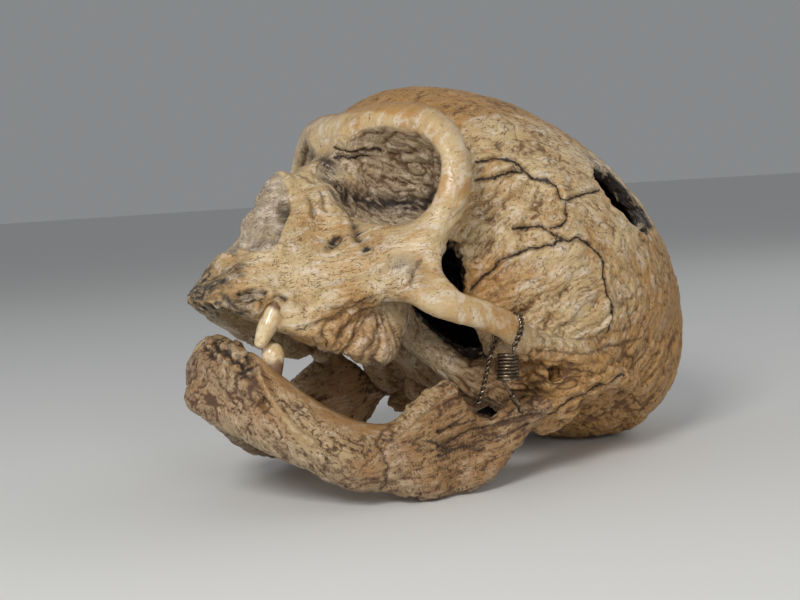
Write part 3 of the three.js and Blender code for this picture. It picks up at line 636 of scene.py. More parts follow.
def bone_relief(p, normals):
    """How far the bone stands out from its plain form, in mm, what stains it, and where shade is
    painted on it.
    """
    q = mirrored(p)
    x, y, z = p.T
    side = q[:, 1]
    left = step(-8, 8, y)
    w = p + wander(p, 2.2, 12, 1) + wander(p, 0.8, 4, 4)
    rings = around(w, 20, 15, 60)
    upright = along(w, math.radians(108))
    squama = inside(q, SQUAMA) * step(40, 50, side)
    temple = inside(q, TEMPLE, 4) * step(35, 45, side) * (1 - squama)
    forehead = inside(q, FOREHEAD, 1.5) * step(-20, 0, z)
    low = inside(q, BELOW_CREST, 5)
    front = inside(q, FACE, 5)
    socket = step(1.8, -0.2, np.minimum(orbit(p), egg(q, *ORBIT_CORNER)))
    socket = socket * step(4, -2, orbit_mouth(p))
    smooth = mound(np.maximum(0, bar(q, BROW[1:]) - 0.5), 3)
    pillar = mound(np.maximum(0, bar(q, ORBIT_SIDE) - 0.3), 2)
    cheek_arch = mound(np.maximum(0, arch(p) - 0.5), 2.5)
    cheek_arch = cheek_arch * step(16, 30, x) * step(80, 70, x)
    smooth = np.maximum.reduce((smooth, 0.8 * pillar, cheek_arch)) * (1 - socket)
    edge = outline(side + 0.6 * noise(p, 4, 7), z, NOSE_PLATE)
    plate = step(0.5, -0.5, edge) * step(102, 106, x)
    tip = step(-50, -56, z + 0.3 * (114 - x) + 2.5 * noise(p, 5, 8))
    sill = step(117, 122, x + 1.5 * noise(p, 4, 9)) * step(-36, -42, z)
    tip = np.maximum(tip * step(96, 103, x), sill)
    tuber = step(-24, -30, z) * step(94, 88, x) * step(48, 54, x)
    tuber = tuber * step(18, 26, side)

    folds = creases(rings, (26, 4.6, 7), 11)
    fine = creases(rings, (13, 2.3, 3.5), 13)
    grain = creases(upright, (24, 3.6, 6), 17)
    thread = creases(upright, (12, 2.0, 3), 18)
    swirl = creases(w, (8, 5, 5), 19)
    wrinkle = creases(w, (6, 3, 4), 23)
    orbital = (mirrored(w) - ORBIT_AT) @ np.linalg.inv(ORBIT_AXES)
    strata = creases(orbital, (13, 3.2, 7), 24)
    shreds = creases(orbital, (7, 1.9, 4), 25)
    fan = around(w, 82, -22, 22)[:, [1, 0, 2]]
    pleats = creases(fan, (34, 5.5, 9), 29)
    hairs = creases(fan, (14, 2.2, 4), 30)
    speck = rough(p, 1.7, 2, 31)
    lumps = rough(w, 9, 2, 33)

    height = 0.55 * (fine - 0.7) + 0.6 * (swirl - 0.7) + 0.22 * speck + 0.8 * lumps
    ridges = rough(upright, (22, 3.4, 6), 2, 20)
    bark = 0.5 + 1.2 * (grain - 0.75) + 0.5 * (thread - 0.7)
    bark = bark + 0.14 * speck + 0.5 * lumps + 1.8 * ridges
    height = blend(height, bark, squama)
    planks = 1.7 * (grain - 0.75) + 0.7 * (thread - 0.7) + 0.5 * lumps + 2.4 * ridges
    height = blend(height, planks, temple)
    height = blend(height, 1.9 * (folds - 0.75) + 0.8 * (fine - 0.7) + 0.5 * lumps, low)
    height = height * (1 - 0.4 * forehead) + forehead * 0.8 * step(38, 66, x)
    face = 0.25 * (wrinkle - 0.7) + 0.35 * lumps + 0.16 * speck
    height = blend(height, face, front)
    height = blend(height, 2.4 * (pleats - 0.75) + 0.9 * (hairs - 0.7), tuber)
    inner = 1.0 * (strata - 0.7) + 0.7 * (shreds - 0.7) + 0.7 * rough(w, 7, 3, 37)
    height = blend(height, inner, socket)

    stain = np.maximum(0.6 * valley(fine), 0.75 * valley(swirl))
    stain = blend(stain, np.maximum(0.6 * valley(grain), 0.5 * valley(thread)), squama)
    stain = blend(stain, np.maximum(0.7 * valley(grain), 0.6 * valley(thread)), temple)
    stain = blend(stain, np.maximum(valley(folds), 0.8 * valley(fine)), low)
    stain = blend(stain, 0.4 * valley(wrinkle), front)
    stain = blend(stain, np.maximum(valley(pleats), 0.8 * valley(hairs)), tuber)
    stain = blend(stain, np.maximum(valley(strata), 0.9 * valley(shreds)), socket)
    stain = stain * (1 - 0.85 * smooth) * (1 - 0.6 * plate)
    paint = 0.25 + 0.3 * lumps + 0.3 * speck - 1.15 * stain
    paint = paint + 0.8 * ridges * np.maximum(temple, squama)
    height = height * (1 - 0.8 * smooth)
    ripples = 1.5 * noise(along(w, 0.9), (9, 3.4, 6), 41) + 0.25 * speck - 1.3
    shade = mound(line_gap(q, PLATE_DARK), 2.6) * plate
    ripples = ripples - 1.8 * shade
    for *at, radius in PLATE_LUMPS:
        ripples = ripples + 0.6 * radius * spot(q, at, radius)
    height = blend(height, ripples, plate)
    height = height + 0.5 * (1 - plate) * mound(edge - 1.2, 1.2) * step(102, 106, x)
    height = blend(height, 1.7 * rough(w, 3.6, 3, 43) - 0.5, tip)

    pits = np.zeros(len(p), np.float32)
    for line in SOCKET_PITS:
        gap = line_gap(p + 0.8 * noise(p, 4, 44)[:, None], line)
        height = height - 2.6 * step(3.4, 1.2, gap) + 0.7 * mound(gap - 4.4, 1.1)
        pits = np.maximum(pits, step(3.6, 2, gap))
    wing = mound(line_gap(q, ORBIT_WING), 2.2) * socket
    height = height + 1.6 * wing
    # Painted shade: a dark band deep in each orbit, clear of the bony wing.
    painted_shade = mound(line_gap(q, ORBIT_DARK), 4.5) * (1 - wing)
    gap = line_gap(q, CHEEK_FURROW)
    height = height - 0.7 * mound(gap, 2.4)
    # Painted shade along the cheek furrow, which is also sunk a little.
    painted_shade = np.maximum(painted_shade, (1.1 + 0.9 * speck) * mound(gap, 2.3))
    # Painted shade inside the cheek hole.
    painted_shade = np.maximum(painted_shade, step(1.2, 0.2, bar(q, CHEEK_HOLE)))
    # Painted shade in the socket pits.
    painted_shade = np.maximum(painted_shade, 1.3 * pits)
    gap = line_gap(q, CHEEK_BAR)
    height = height + 1.3 * mound(gap, 2.3)
    gap = line_gap(q, STEP_LINE)
    height = height - 0.7 * mound(gap, 1.4)
    gap = line_gap(q, SQUAMA_RIPPLES)
    height = height + squama * 0.6 * np.cos(gap * 1.9) * np.exp(-gap / 6)

    jag = p + wander(p, 0.9, 3, 51) + wander(p, 0.3, 1.6, 54)
    gap, across, strength = nearest_crack(p, jag, normals, (4, 0, -4), [
        (line, (0.55 if name in FAINT else 1) * (0.5 + 0.5 * left))
        for name, line in CRACKS.items()
    ])
    width = 0.75 + 0.3 * noise(p, 5, 57)
    height = height - 0.5 * strength * mound(gap, 1.8)
    lip = strength * mound(gap - 2.3, 1.1) * (1 - smooth)
    height, paint = height + 0.6 * lip, paint + 0.35 * lip
    height = height - 0.9 * strength * mound(gap, width)
    crack = strength * step(2.6, 1.3, gap)
    face_grain = mirrored(w) @ np.float32(FACE_GRAIN).T
    run = np.where(squama[:, None] > 0.5, upright, rings)
    run = np.where(front[:, None] > 0.5, face_grain, run)
    run = np.where(socket[:, None] > 0.5, orbital, run)
    paint = paint + 0.8 * wing
    return height, {
        "relief": paint, "crack": crack, "across": across, "smooth": smooth, "run": run,
        "tip": np.maximum(tip, pits), "painted_shade": np.maximum(painted_shade, shade), "wing": wing,
        "socket": socket, "plate": plate, "low": low, "front": front, "forehead": forehead,
        "tuber": tuber,
    }


# Where each bone ends: outlines in the side view (x, z) or the front view (y, z).
LAMBDOID = (
    (-66, 116), (-67, 84), (-63, 60), (-55, 34), (-49, 14), (-42, 3), (-34, -9), (-28, -20),
    (-28, -70), (-130, -70), (-130, 116),
)
SQUAMOUS = (
    (36, -32), (37, -14), (42, 2), (40, 17), (30, 31), (12, 38), (-12, 35), (-32, 24),
    (-56, 10), (-56, -70), (36, -70),
)
CHEEK_SUTURE = (
    (26, 8), (30, 0), (37, -8), (45, -14), (52, -24), (54, -45), (110, -45), (110, 27),
    (44, 27), (38, 14),
)
FOREHEAD_SUTURE = (
    (33, 116), (35, 98), (40, 75), (44, 52), (46, 34), (47, 22), (56, 18), (68, 20), (84, 26),
    (98, 24), (112, 18), (140, 14), (140, 116),
)
CROWN = ((-130, 2), (38, 2), (50, 16), (50, 118), (-130, 118))
NOSE_BONES = ((-7, 2.5), (7, 2.5), (6, 30), (-6, 30))
BONES = (
    "occipital", "temporal_left", "temporal_right", "zygomatic_left", "zygomatic_right", "frontal",
    "parietal_left", "parietal_right", "nasal_filling", "nasal_bones", "maxilla", "sphenoid",
)


def which_bone(p):
    """The number in BONES of the bone that each point belongs to."""
    x, y, z = p.T
    side = np.abs(y)
    in_side = [outline(x, z, shape) < 0 for shape in (LAMBDOID, SQUAMOUS, FOREHEAD_SUTURE, CROWN)]
    cheek = (outline(side, z, CHEEK_SUTURE) < 0) & (x > 66) & (x < 120)
    cheek |= (x > 55.35) & (x < 67) & (side > 58) & (z > -45) & (z < 6)
    temporal = (x > 28) & (x < 55) & (side > 58) & (z > -45) & (z < 4)
    temporal |= in_side[1] & (side > 24.85)
    occipital = in_side[0] | ((x > -30) & (x < 20) & (side < 24.5) & (z < 0))
    filling = (np.hypot(y / 12, (z + 16) / 18) < 1) & (x > 106)
    nasal = (outline(y, z, NOSE_BONES) < 0) & (x > 103)
    rules = (
        occipital, temporal & (y > 0), temporal, cheek & (y > 0), cheek, in_side[2],
        in_side[3] & (y > 0), in_side[3], filling, nasal, x > 62.5,
    )
    number = np.full(len(p), len(rules))
    for i in reversed(range(len(rules))):
        number[rules[i]] = i
    return number


def set_marks(mesh, marks):
    """Stores what the material reads: each mark a number or a vector at each point."""
    for name, values in marks.items():
        kind, field = ("FLOAT_VECTOR", "vector") if values.ndim > 1 else ("FLOAT", "value")
        layer = mesh.attributes.new(name, kind, "POINT")
        layer.data.foreach_set(field, np.ascontiguousarray(values, np.float32).ravel())


def stand(points):
    """Points set down on the table, in metres, none below it."""
    matrix = np.array(SET_DOWN, np.float32)
    points = points @ matrix[:3, :3].T + matrix[:3, 3]
    points[:, 2] = np.maximum(points[:, 2], 0)
    return points


def shaped(name, field, low, high):
    """A field's fine mesh, with its points, the ways out from them and its faces."""
    mesh = refined(drawn(name, field, low, high, STEP))
    corners = np.empty(len(mesh.loops), np.int32)
    mesh.loops.foreach_get("vertex_index", corners)
    return mesh, *surface(mesh), corners.reshape(-1, 4)


def add_piece(name, points, faces, material, marks, normals=None):
    """A piece of the model, its points in metres, that stands for the node of its name."""
    mesh = new_mesh(name, points, faces)
    mesh.shade_smooth()
    set_marks(mesh, marks)
    if normals is not None:
        mesh.normals_split_custom_set_from_vertices(normals)
    mesh.materials.append(material)
    piece = new_object(name, mesh)
    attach(piece, "root")
    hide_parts(name)


class Signal:
    """A node's output that takes part in sums."""

    def __init__(self, nodes, socket):
        self.nodes, self.socket = nodes, socket

    def __add__(self, other):
        return self.nodes.math("ADD", self, other)

    def __sub__(self, other):
        return self.nodes.math("SUBTRACT", self, other)

    def __rsub__(self, other):
        return self.nodes.math("SUBTRACT", other, self)

    def __mul__(self, other):
        return self.nodes.math("MULTIPLY", self, other)


class Nodes:
    """Short ways to add nodes to one tree; each gives the new node's output."""

    def __init__(self, tree):
        self.tree = tree

    def add(self, kind, out=0, sockets=None, **settings):
        node = self.tree.nodes.new("ShaderNode" + kind)
        for key, value in settings.items():
            setattr(node, key, value)
        for key, value in (sockets or {}).items():
            self.put(node.inputs[key], value)
        return Signal(self, node.outputs[out])

    def put(self, socket, value):
        value = value.socket if isinstance(value, Signal) else value
        if isinstance(value, bpy.types.NodeSocket):
            self.tree.links.new(value, socket)
        else:
            socket.default_value = value

    def mark(self, name, vector=False):
        return self.add("Attribute", "Vector" if vector else "Fac", attribute_name=name)

    def math(self, operation, a, b=0.0, clamp=False):
        return self.add("Math", operation=operation, use_clamp=clamp, sockets={0: a, 1: b})

    def ramp(self, value, low, high, to_low=0.0, to_high=1.0):
        return self.add("MapRange", interpolation_type="SMOOTHSTEP", sockets={
            "Value": value, "From Min": low, "From Max": high,
            "To Min": to_low, "To Max": to_high,
        })

    def mix(self, factor, a, b):
        return self.add("Mix", 2, data_type="RGBA", sockets={0: factor, 6: a, 7: b})

    def noise(self, vector, scale, detail=3.0, roughness=0.55):
        return self.add("TexNoise", "Fac", sockets={
            "Vector": vector, "Scale": scale, "Detail": detail, "Roughness": roughness,
        })

    def streaks(self, vector, factors, scale=1.0, detail=3.0, roughness=0.55):
        """Noise stretched along the axes whose factors are low."""
        vector = self.add("VectorMath", operation="MULTIPLY", sockets={0: vector, 1: factors})
        return self.noise(vector, scale, detail, roughness)

    def bump(self, height, strength, distance):
        return self.add("Bump", "Normal", sockets={
            "Strength": strength, "Distance": distance, "Height": height,
        })


def new_material(name):
    """A new material, its nodes, and the inputs of its shader."""
    material = bpy.data.materials.new(name)
    material.use_nodes = True
    tree = material.node_tree
    return material, Nodes(tree), tree.nodes["Principled BSDF"].inputs


def fossil_group():
    """Painted fossil bone: pale heights, a brown wash in the lows, flecks along the grain."""
    tree = bpy.data.node_groups.new("fossil bone", "ShaderNodeTree")
    for way, sockets in (
        ("INPUT", {
            "Pale": "Color", "Ochre": "Color", "Chalk": "Color", "Brown": "Color",
            "Dark": "Color", "Grey": "Color", "Flecks": "Float", "Wash": "Float",
        }),
        ("OUTPUT", {"Color": "Color", "Roughness": "Float", "Height": "Float"}),
    ):
        for socket, kind in sockets.items():
            tree.interface.new_socket(socket, in_out=way, socket_type="NodeSocket" + kind)
    given, result = tree.nodes.new("NodeGroupInput").outputs, tree.nodes.new("NodeGroupOutput")
    n = Nodes(tree)
    place, grain = n.mark("place", True), n.mark("grain", True)
    relief, smooth = n.mark("relief"), n.mark("smooth")
    crack, across = n.mark("crack"), n.math("ABSOLUTE", n.mark("across"))
    warm, grey_and_shade, shade_and_broken = n.mark("warm"), n.mark("grey_and_shade"), n.mark("shade_and_broken")

    clouds = n.noise(place, 0.055, 4.0)
    mottle = n.streaks(grain, (0.08, 0.36, 0.3), roughness=0.6)
    fibres = n.streaks(grain, (0.2, 1.0, 0.6))
    slivers = n.streaks(grain, (0.5, 1.5, 1.2), 1.0, 2.5, 0.6)
    hair = n.streaks(grain, (0.09, 0.34, 0.26), 1.0, 2.5, 0.6)
    grit = n.noise(place, 1.7, 2.0, 0.6)
    sand = n.noise(place, 0.75, 3.0, 0.7)
    drift = n.noise(place, 0.16, 2.0)

    tone = clouds * 0.8 + mottle * 0.6 + warm * 0.55
    colour = n.mix(n.ramp(tone, 0.54, 1.0), given["Pale"], given["Ochre"])
    # Grey where the bone is grey, and where shade is painted.
    colour = n.mix(grey_and_shade * n.ramp(mottle, 0.25, 0.6, 0.55, 1.0), colour, given["Grey"])

    centred = fibres - 0.5
    high = n.ramp(relief + centred * 1.6, 0.15, 0.8)
    colour = n.mix(high * 0.3, colour, given["Pale"])
    chalky = n.streaks(grain, (0.1, 0.3, 0.26), roughness=0.6) + relief * 0.12
    chalky = n.ramp(chalky, 0.5, 0.7) * n.math("SUBTRACT", 1.0, warm, True)
    colour = n.mix(chalky * 0.75, colour, given["Chalk"])

    rough_only = 1.0 - smooth * 0.8
    crowded = (drift - 0.5) * 0.22 + (rough_only - 1.0) * 0.035
    flecks = n.ramp(slivers - crowded, 0.378, 0.33)
    flecks = n.math("MAXIMUM", flecks, n.ramp(grit - crowded, 0.36, 0.31))
    hairline = n.ramp(n.math("ABSOLUTE", hair - 0.5), 0.016, 0.004)
    hairline = hairline * n.ramp(sand, 0.42, 0.56) * rough_only
    flecks = n.math("MAXIMUM", flecks, hairline) * given["Flecks"]
    colour = n.mix(n.math("MULTIPLY", flecks, 0.85, True), colour, given["Brown"])

    low = relief + (sand - 0.5) * 0.9 + centred * 0.8
    low = n.ramp(low, -0.12, -0.8) * given["Wash"]
    colour = n.mix(n.math("MULTIPLY", low, 0.85, True), colour, given["Brown"])

    stained = n.ramp(across, 2.4, 0.2) * n.ramp(sand, 0.35, 0.6, 0.1, 0.6)
    colour = n.mix(stained * crack, colour, given["Brown"])
    torn = across + (sand - 0.5) * 2.2 + (grit - 0.5) * 1.2 + (drift - 0.5) * 1.0
    torn = n.ramp(torn, 0.52, 0.26) * n.ramp(crack, 0.15, 1.0, 0.0, 0.95)
    colour = n.mix(torn, colour, given["Dark"])
    dark_mottle = n.ramp(mottle + relief * 0.22, 0.75, 0.35)
    # Dark on broken bone and wherever shade is painted, mottled.
    colour = n.mix(shade_and_broken * dark_mottle, colour, given["Dark"])

    n.put(result.inputs["Color"], colour)
    dull = n.ramp(low + flecks, 0.0, 1.0, 0.4, 0.68)
    n.put(result.inputs["Roughness"], dull - smooth * 0.12)
    height = (fibres * 0.7 + sand * 0.5) * rough_only
    n.put(result.inputs["Height"], height + flecks * -0.3 + torn * -0.8)
    return tree


FOSSIL = fossil_group()


def fossil_material(name, flecks, wash, bump, colours):
    """A painted bone finish from the shared group, with its own colours."""
    material, n, shader = new_material(name)
    bone = n.tree.nodes.new("ShaderNodeGroup")
    bone.node_tree = FOSSIL
    for socket, colour in colours.items():
        bone.inputs[socket].default_value = (*colour, 1)
    bone.inputs["Flecks"].default_value = flecks
    bone.inputs["Wash"].default_value = wash
    n.put(shader["Base Color"], bone.outputs["Color"])
    n.put(shader["Roughness"], bone.outputs["Roughness"])
    n.put(shader["Normal"], n.bump(bone.outputs["Height"], bump, 0.001))
    return material


PAINTED_BONE = fossil_material("painted_bone", 0.9, 1.05, 0.75, {
    "Pale": (0.58, 0.435, 0.235), "Ochre": (0.43, 0.235, 0.078), "Chalk": (0.68, 0.57, 0.44),
    "Brown": (0.13, 0.06, 0.024), "Dark": (0.02, 0.012, 0.008), "Grey": (0.31, 0.26, 0.21),
})


def skull_marks(p, m):
    """What the paint follows on the cranium."""
    q = mirrored(p)
    x, y, z = p.T
    side = np.abs(y)
    patch = spot(p, (24, 57, 83), (10, 8, 6))
    cheek_patch = spot(q, (83, 63, -14), (5, 7, 5))
    top = step(50, 78, z + 0.3 * x) * step(52, 40, side)
    rim = mound(x - 42, 8) * mound(z - 2, 13) * step(30, 40, side)
    # Painted shade: the inside of the braincase, seen through its openings, is painted black and
    # grey.
    inner = step(-0.8, -3, vault(p)) * step(-3, 0, orbit(p) - 3) * (1 - m["front"])
    # Painted shade: greyer under the base of the skull.
    under = step(0, -16, z) * step(64, 40, side) * step(90, 60, x)
    grey_and_shade = np.maximum(0.6 * m["socket"] * (1 - m["wing"]), 0.85 * m["plate"])
    grey_and_shade = np.maximum.reduce((grey_and_shade, 0.95 * patch, 0.9 * cheek_patch, 0.35 * under, 0.5 * inner))
    # Painted shade round the edge of the hole in the left parietal.
    gap = line_gap(p, HOLE_RIM)
    # Dark paint: broken bone at the tooth row and nose sill, and all the painted shade.
    shade_and_broken = np.maximum.reduce((m["tip"], 2 * inner, m["painted_shade"], 1.7 * mound(gap, 2.6)))
    rear = 0.75 * step(10, -50, x)
    crown = np.maximum(m["forehead"], step(48, 42, x) * step(-50, 42, x))
    warm = (0.9 * top * crown, 0.7 * m["low"], rear, 1.2 * rim, 0.3 * m["tuber"])
    warm = np.maximum.reduce(warm)
    marks = {key: m[key] for key in ("relief", "crack", "across", "smooth")}
    return {"place": p, "grain": m["run"], "warm": warm, "grey_and_shade": grey_and_shade, "shade_and_broken": shade_and_broken, **marks}


base_mesh, points, normals, quads = shaped("cranium", cranium, (-106, -86, -70), (136, 86, 118))
height, masks = bone_relief(points, normals)
marks = skull_marks(points, masks)
numbers = which_bone(points[quads].mean(1))
base_mesh.vertices.foreach_set("co", (points + normals * height[:, None]).ravel())
base_mesh.update()
points, normals = surface(base_mesh)
points = stand(points)
normals = normals @ np.array(SET_DOWN.to_3x3().normalized(), np.float32).T
for number, name in enumerate(BONES):
    own = quads[numbers == number]
    used, corners = np.unique(own, return_inverse=True)
    add_piece(
        name, points[used], corners.reshape(-1, 4), PAINTED_BONE,
        {key: values[used] for key, values in marks.items()}, normals[used],
    )
bpy.data.meshes.remove(base_mesh)

# --- The lower jaw ---------------------------------------------------------------
# The jaw is one fossil bone, cast and painted a little darker than the skull. Its front
# sockets are broken open and the rest of its row is worn down to a smooth, pale ledge.
# It is shaped in its own axes and hangs askew on the springs.

PAINTED_JAW = fossil_material("painted_jaw", 1.0, 1.25, 0.7, {
    "Pale": (0.47, 0.33, 0.165), "Ochre": (0.34, 0.18, 0.065), "Chalk": (0.54, 0.43, 0.3),
    "Brown": (0.095, 0.045, 0.02), "Dark": (0.02, 0.012, 0.007), "Grey": (0.24, 0.2, 0.15),
})
JAW_CRACKS = {
    "base": (
        (44, 47, -67), (46, 49, -69), (47, 50, -72), (42, 53, -76), (39, 54, -79),
        (35, 53, -84), (33, 50, -90),
    ),
    "ramus_1": (
        (25, 58, -60), (20, 58, -53), (16, 59, -46), (10, 59, -40), (6, 61, -35), (1, 67, -29),
    ),
    "ramus_2": ((28, 58, -55), (20, 58, -46), (6, 62, -30)),
    "ramus_3": ((23, 59, -63), (15, 58, -54), (7, 60, -45), (2, 64, -38), (-2, 66, -32)),
    "ramus_4": ((44, 50, -70), (33, 56, -62), (20, 58, -58), (8, 60, -50)),
}
JAW_RIDGE = (
    (97, 26, -71), (94, 27, -74), (91, 29, -76), (89, 31, -78), (84, 33, -81), (78, 36, -84),
    (72, 40, -86), (67, 43, -86),
)
JAW_BROKEN = ((109, 6, -69), (106, 12, -70), (102, 20, -72), (100, 23, -72))


def jaw_relief(p, normals):
    """How far the jaw bone stands out from its plain form, in mm, and its paint marks."""
    q = jaw_axes(p)
    w = q + wander(q, 2.0, 10, 61) + wander(q, 0.7, 3.5, 64)
    ramus = step(46, 34, q[:, 0] + 0.3 * (q[:, 2] + 60))
    chin = step(78, 92, q[:, 0])
    rings = around(w, 62, 10, 90)
    rising = along(q + 0.35 * (w - q), math.radians(128))
    lines = blend(creases(rings, (24, 3.6, 5), 67), creases(rising, (40, 3.4, 6), 69), ramus)
    fine = blend(creases(rings, (10, 2.0, 3), 71), creases(rising, (20, 1.9, 3), 73), ramus)
    swirl = creases(w, (6, 4.5, 4), 75)
    speck, lumps = rough(q, 1.7, 2, 77), rough(w, 9, 2, 78)
    inner = step(0.1, 0.7, normals[:, 2]) * step(34, 48, q[:, 0]) * step(101, 96, q[:, 0])
    height = 0.8 * (lines - 0.7) + 0.55 * (fine - 0.7)
    height = height + 0.45 * (1 - ramus) * (swirl - 0.7) + 0.2 * speck
    height = blend(height, 0.5 * (swirl - 0.7) + 0.5 * (fine - 0.7) + 0.25 * speck, chin)
    stain = np.maximum(0.9 * valley(lines), 0.8 * valley(fine))
    stain = np.maximum(stain, (0.7 - 0.4 * ramus) * valley(swirl))
    paint = 0.25 + 0.3 * lumps + 0.3 * speck - 1.2 * stain * (1 - 0.8 * inner)
    height = (0.8 * height + 0.25 * lumps) * (1 + 0.3 * ramus) * (1 - 0.75 * inner)
    side = mirrored(p)
    gap = line_gap(side + 0.5 * noise(p, 5, 80)[:, None], JAW_RIDGE)
    ridge = mound(gap, 1.3)
    height = height * (1 - 0.7 * mound(gap, 4)) + 1.9 * ridge
    height = height - 0.9 * mound(gap - 3.4, 1.8)
    sockets = line_gap(side + 1.2 * noise(p, 4, 84)[:, None], JAW_BROKEN)
    broken = step(7.5, 4.5, sockets)
    combs = creases(rings, (2.8, 9, 5), 79)
    height = blend(height, 2.6 * combs - 3 + 0.6 * speck, broken)
    paint = paint + broken * (0.9 - 2.4 * valley(combs))
    gap, across, strength = nearest_crack(p, p + wander(p, 0.8, 3, 81), normals, (3, 0, -2), [
        (line, 0.65 if name == "base" else 0.75) for name, line in JAW_CRACKS.items()
    ])
    height = height - strength * (0.6 * mound(gap, 1.7) + 0.8 * mound(gap, 0.8))
    crack = strength * step(2.6, 1.3, gap)
    marks = {
        "place": p, "grain": np.where(ramus[:, None] > 0.5, rising, rings),
        "relief": paint + 0.6 * ridge, "crack": crack, "across": across,
        "smooth": np.maximum(0.7 * inner, ridge), "warm": 0.4 * inner + 0.45 * ramus + 0.3 * chin,
        # Greyer on the faces that look down: painted shade underneath.
        "grey_and_shade": 0.1 + 0.4 * step(0, -0.6, normals[:, 2]) - 0.1 * ridge, "shade_and_broken": 0.9 * broken,
    }
    return height, marks


base_mesh, points, normals, quads = shaped("mandible", jaw, (-18, -86, -106), (122, 86, -8))
height, marks = jaw_relief(points, normals)
points = stand(points + normals * height[:, None])
add_piece("mandible", points, quads, PAINTED_JAW, marks)
bpy.data.meshes.remove(base_mesh)

# --- The two teeth ---------------------------------------------------------------
# One upper and one lower tooth are left, worn ivory enamel over a darker root, glossy
# where the rest is dull. Each is a round peg set into an open socket in the bone.

TOOTH_SIDES = 48


def turned(turn, u, v):
    """The direction u turned towards v by each angle."""
    return np.cos(turn)[:, None] * u + np.sin(turn)[:, None] * v


def ring_faces(rings, turns):
    """Faces of four corners that join each ring of points to the next."""
    first = np.arange(rings - 1)[:, None] * turns
    here, after = first + np.arange(turns), first + np.roll(np.arange(turns), -1)
    return np.stack((here, after, turns + after, turns + here), -1).reshape(-1, 4)


def enamel_material():
    """Worn enamel with fine upright lines, darker towards the root."""
    material, n, shader = new_material("enamel")
    place, root = n.mark("place", True), n.mark("root")
    clouds = n.noise(place, 0.3, 4.0)
    lines = n.streaks(place, (1.6, 1.6, 0.25))
    stain = n.ramp(root + (clouds - 0.5) * 0.7, 0.25, 0.8)
    colour = n.mix(n.ramp(clouds, 0.3, 0.7), (0.76, 0.63, 0.42, 1), (0.62, 0.44, 0.22, 1))
    colour = n.mix(n.ramp(lines, 0.5, 0.36) * 0.35, colour, (0.36, 0.2, 0.08, 1))
    n.put(shader["Base Color"], n.mix(stain, colour, (0.16, 0.075, 0.03, 1)))
    n.put(shader["Roughness"], n.ramp(stain + lines, 0.3, 1.4, 0.14, 0.5))
    n.put(shader["Normal"], n.bump(lines, 0.25, 0.0004))
    shader["Coat Weight"].default_value = 0.4
    shader["Coat Roughness"].default_value = 0.08
    return material


ENAMEL = enamel_material()
TEETH = {  # radius and height of each ring, tip, where the root points, stained heights
    "tooth_upper": (
        (
            (0, 0), (1.5, 0.4), (2.5, 2.2), (3.4, 6), (3.9, 10), (4, 14), (3.7, 18), (2.8, 22),
            (0, 25),
        ),
        (99.5, 24, -64.6), (102.2, 24, -49.1), (12, 20),
    ),
    "tooth_lower": (
        ((0, 0), (2.6, 0.5), (4.1, 2.6), (4.5, 5.5), (4.0, 9), (3.1, 13), (1.9, 17), (0, 19)),
        (94.5, 21.5, -58.8), (85, 23, -71.5), (2, 13),
    ),
}
for seed, (name, (profile, tip, toward, stained)) in enumerate(TEETH.items()):
    line = smooth_line(profile, 5)
    axis = unit(np.array(toward, float) - tip)
    across = unit(np.cross(axis, (0, 1, 0)))
    over = np.cross(axis, across)
    turn = np.arange(TOOTH_SIDES) * 2 * math.pi / TOOTH_SIDES
    radius = np.maximum(line[:, :1], 0.01) * (1 + 0.03 * np.cos(3 * turn + seed))
    points = tip + line[:, 1, None, None] * axis + radius[:, :, None] * turned(turn, across, over)
    points = np.float32(points.reshape(-1, 3))
    points += 0.12 * rough(points, (3, 3, 9), 3, 91 + seed)[:, None] * np.float32(over + across)
    root = np.repeat(step(*stained, line[:, 1]), TOOTH_SIDES)
    marks = {"place": points, "root": root}
    faces = ring_faces(len(line), TOOTH_SIDES)
    add_piece(name, stand(points), faces, ENAMEL, marks)

# --- The springs and wires that hold the jaw up ----------------------------------
# On each side a two-strand wire loops over the cheek arch and ends in a tight coil
# spring, whose tail hooks into the jaw's head; a second twisted wire runs down inside
# the arch to the ramus. All of it is bent by hand from steel wire, brown with age.

WIRE_SIDES = 10
WIRE_STEPS = 40  # between two of its given points
COIL_STEPS = 28  # in a turn


def wire_material():
    """Old steel wire, brown in patches, with fine scratches."""
    material, n, shader = new_material("tarnished_wire")
    place = n.mark("place", True)
    tarnish = n.ramp(n.noise(place, 0.6, 4.0), 0.35, 0.65)
    scratches = n.streaks(place, (3, 3, 0.8), 1.5)
    n.put(shader["Base Color"], n.mix(tarnish, (0.26, 0.2, 0.14, 1), (0.09, 0.065, 0.045, 1)))
    n.put(shader["Roughness"], n.ramp(tarnish + scratches, 0.3, 1.5, 0.22, 0.5))
    n.put(shader["Normal"], n.bump(scratches, 0.2, 0.0002))
    shader["Metallic"].default_value = 1.0
    return material


WIRE = wire_material()


def headings(path):
    """The way ahead at each point of a path."""
    ahead = np.gradient(path, axis=0)
    return ahead / (np.linalg.norm(ahead, axis=1)[:, None] + 1e-9)


def tube(path, radius):
    """Points and faces of a closed round wire along a path, in mm."""
    path = np.array(path, float)
    ahead = headings(path)
    side = np.cross(ahead[0], (0.3, 0.2, 0.93))
    rings = []
    turn = np.arange(WIRE_SIDES) * 2 * math.pi / WIRE_SIDES
    for at, way in zip(path, ahead):
        side = unit(side - way * (side @ way))
        up = np.cross(way, side)
        rings.append(at + radius * turned(turn, side, up))
    rings = [np.repeat(path[:1], WIRE_SIDES, 0), *rings, np.repeat(path[-1:], WIRE_SIDES, 0)]
    return np.concatenate(rings), ring_faces(len(rings), WIRE_SIDES)


